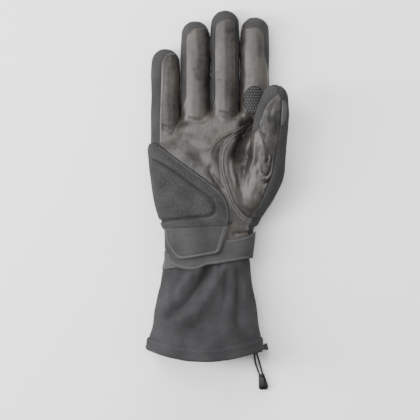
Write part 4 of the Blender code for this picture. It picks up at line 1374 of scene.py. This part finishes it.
lining = sleeve("fleece_sleeve", lining_stops, fleece, 120, fleece_shape, inward=True, close_last=True)
for piece, nodes in ((cuff_sleeve, ("cuff_shell",)), (lining, ("cuff_lining", "hand_lining"))):
    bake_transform(piece)
    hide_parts(*nodes)
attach(hem, "cuff")
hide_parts("cuff_hem")
cuff_tree = surface_tree(hem, cuff_sleeve)
hem_path = dip(np.array([[x * MM, hem_corner + 9.4 * MM, 0] for x in np.linspace(-64, 42, 60)]))
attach(stitches("hem_stitches", cuff_tree, hem_path, dark_thread, 2.4 * MM, 0.9 * MM, 0.5 * MM), "cuff")


# The wrist closure: a webbing strap with zigzag stitched edges that comes round the thumb's side to a
# rounded end, and over it the overlocked flap under the heel guard. Both close on hook and loop.
strap_outline = np.vstack([
    mm_line([(52, -37.4), (38.6, -37.9), (35.6, -41.8), (28.8, -46.3), (20, -48.6), (8.7, -50.2),
             (-20, -54.5), (-36, -57.5)]),
    smooth_line(mm_line([(-41, -58.6), (-44.6, -61), (-46.2, -65), (-45.2, -69.6), (-42.3, -72.3),
                         (-35.3, -75.6), (-24.6, -77.6),
                         (-16.3, -76.6), (-9.3, -73.4), (2.3, -71.9)]), 2.5 * MM),
    mm_line([(16, -69.6), (31.6, -67.1), (52, -64.5)]),
])
flap_outline = np.vstack([
    mm_line([(9.6, -37.4), (-48.4, -40.2)]),
    smooth_line(mm_line([(-48.9, -42.6), (-47.6, -51), (-43.6, -58.6), (-40.4, -63.4), (-37.2, -66.6),
                         (-33.5, -67.9), (-25.6, -67.6),
                         (-6, -63.9), (0.3, -62.6), (2.3, -60.8), (3.4, -57.5)]), 2.5 * MM),
])


def strap_field(points):
    return np.minimum(within(points, strap_outline), points[:, 2] - 18.6 * MM)


def flap_field(points):
    return np.minimum(within(points, flap_outline), points[:, 2] - 30 * MM)


def strap_height(inside, at):
    return (2.1 * MM + 0.25 * MM * rim(inside, 1.2 * MM)
            + 0.5 * MM * drift(at, (16, 12, 16), 11) * smooth_step(-5 * MM, 20 * MM, at[:, 0]))


def flap_height(inside, at):
    edge = 0.35 * MM * np.exp(-((inside - 1.1 * MM) / (0.7 * MM)) ** 2)
    sag = 0.3 * MM * drift(at, (20, 14, 20), 12)
    return 4.7 * MM + edge + sag - 0.8 * MM * smooth_step(wrist_y + 16 * MM, wrist_y + 19 * MM, at[:, 1])


def thicken(item, depth):
    solid = item.modifiers.new("thickness", "SOLIDIFY")
    solid.thickness = depth
    solid.offset = -1.0
    round_off = item.modifiers.new("worn_edge", "BEVEL")
    round_off.width = depth * 0.22
    round_off.segments = 2
    round_off.limit_method = "ANGLE"
    return applied(item)


webbing = weave_material("strap_webbing", grey(0.028), grey(0.062), 1000.0, 0.8, 0.0004)
flap_cloth = weave_material("flap_softshell", grey(0.024), grey(0.056), 1300.0, 0.9, 0.0002)
strap = thicken(tube_panel("wrist_strap_webbing", hand_tube, strap_field, (-0.5, 3.2), (-79 * MM, -36 * MM),
                           strap_height, webbing,
                           (0.4 * MM, 1.2 * MM), 0.9 * MM), 1.0 * MM)
flap = thicken(tube_panel("heel_flap_cloth", hand_tube, flap_field, (0.9, 2.9), (-69 * MM, -36 * MM),
                          flap_height, flap_cloth,
                          (0.4 * MM, 1.1 * MM, 2.0 * MM), 0.8 * MM), 1.2 * MM)
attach(strap, "strap")
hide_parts("wrist_strap")
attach(flap, "flap")
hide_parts("heel_flap")
strap_tree, flap_tree = surface_tree(strap), surface_tree(flap)
strap_top = strap_outline[1:9]
strap_low = strap_outline[8:-1]
for name, path, shift in (("strap_upper_zigzag", strap_top, 1.5 * MM),
                          ("strap_lower_zigzag", strap_low, 1.5 * MM)):
    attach(stitches(name, strap_tree, path, pale_thread, 2.6 * MM, -0.9 * MM, 0.55 * MM, shift, 1.2),
            "strap")
flap_edge = np.vstack([flap_outline[1:], flap_outline[:1]])
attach(stitches("flap_overlock", flap_tree, flap_edge, pale_thread, 3.2 * MM, -1.4 * MM, 0.65 * MM,
                 1.9 * MM, 1.4), "flap")
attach(stitches("flap_inner_row", flap_tree, flap_edge, black_thread, 2.0 * MM, 0.8 * MM, 0.5 * MM,
                 3.9 * MM), "flap")


def hook_material():
    material, tree, shader, place = new_material("hook_tape", 0.7)
    hooks = add_node(tree, "TexVoronoi", Vector=place, Scale=900.0)
    tint(tree, shader, hooks.outputs["Distance"], grey(0.012), grey(0.035))
    emboss(tree, shader, hooks.outputs["Distance"], 0.0006, 0.9)
    return material


def loop_material():
    material, tree, shader, place = new_material("loop_tape", 0.95)
    fuzz = add_node(tree, "TexNoise", Vector=place, Scale=1200.0, Detail=6.0)
    tint(tree, shader, fuzz.outputs["Fac"], grey(0.015), grey(0.040))
    emboss(tree, shader, fuzz.outputs["Fac"], 0.0006, 0.9)
    return material


hook_tape, loop_tape = hook_material(), loop_material()
for node, material in (("flap_hook", hook_tape), ("strap_hook", hook_tape), ("strap_loop", loop_tape)):
    frame["nodes"][node].data.materials.clear()
    frame["nodes"][node].data.materials.append(material)


# The seam that joins the thumb's panel to the palm: one straight row of black thread on the thumb's side,
# and two zigzag rows of grey thread that hold the seam flat on the palm's side.
thumb_rows = [("thumb_panel_stitches", 2.0 * MM, 0.9 * MM, 0.6 * MM, 0.9 * MM, 0.0),
              ("thumb_panel_zigzag_near", 2.9 * MM, -1.6 * MM, 0.6 * MM, -1.9 * MM, 0.95),
              ("thumb_panel_zigzag_far", 2.9 * MM, -1.7 * MM, 0.65 * MM, -4.3 * MM, 0.95)]
for name, length, gap, width, shift, zigzag in thumb_rows:
    thread = pale_thread if zigzag else black_thread
    row = stitches(name, skin_tree, thumb_panel_seam[3:-3], thread, length, gap, width, shift, zigzag,
                   0.25 * MM)
    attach(row, "hand")
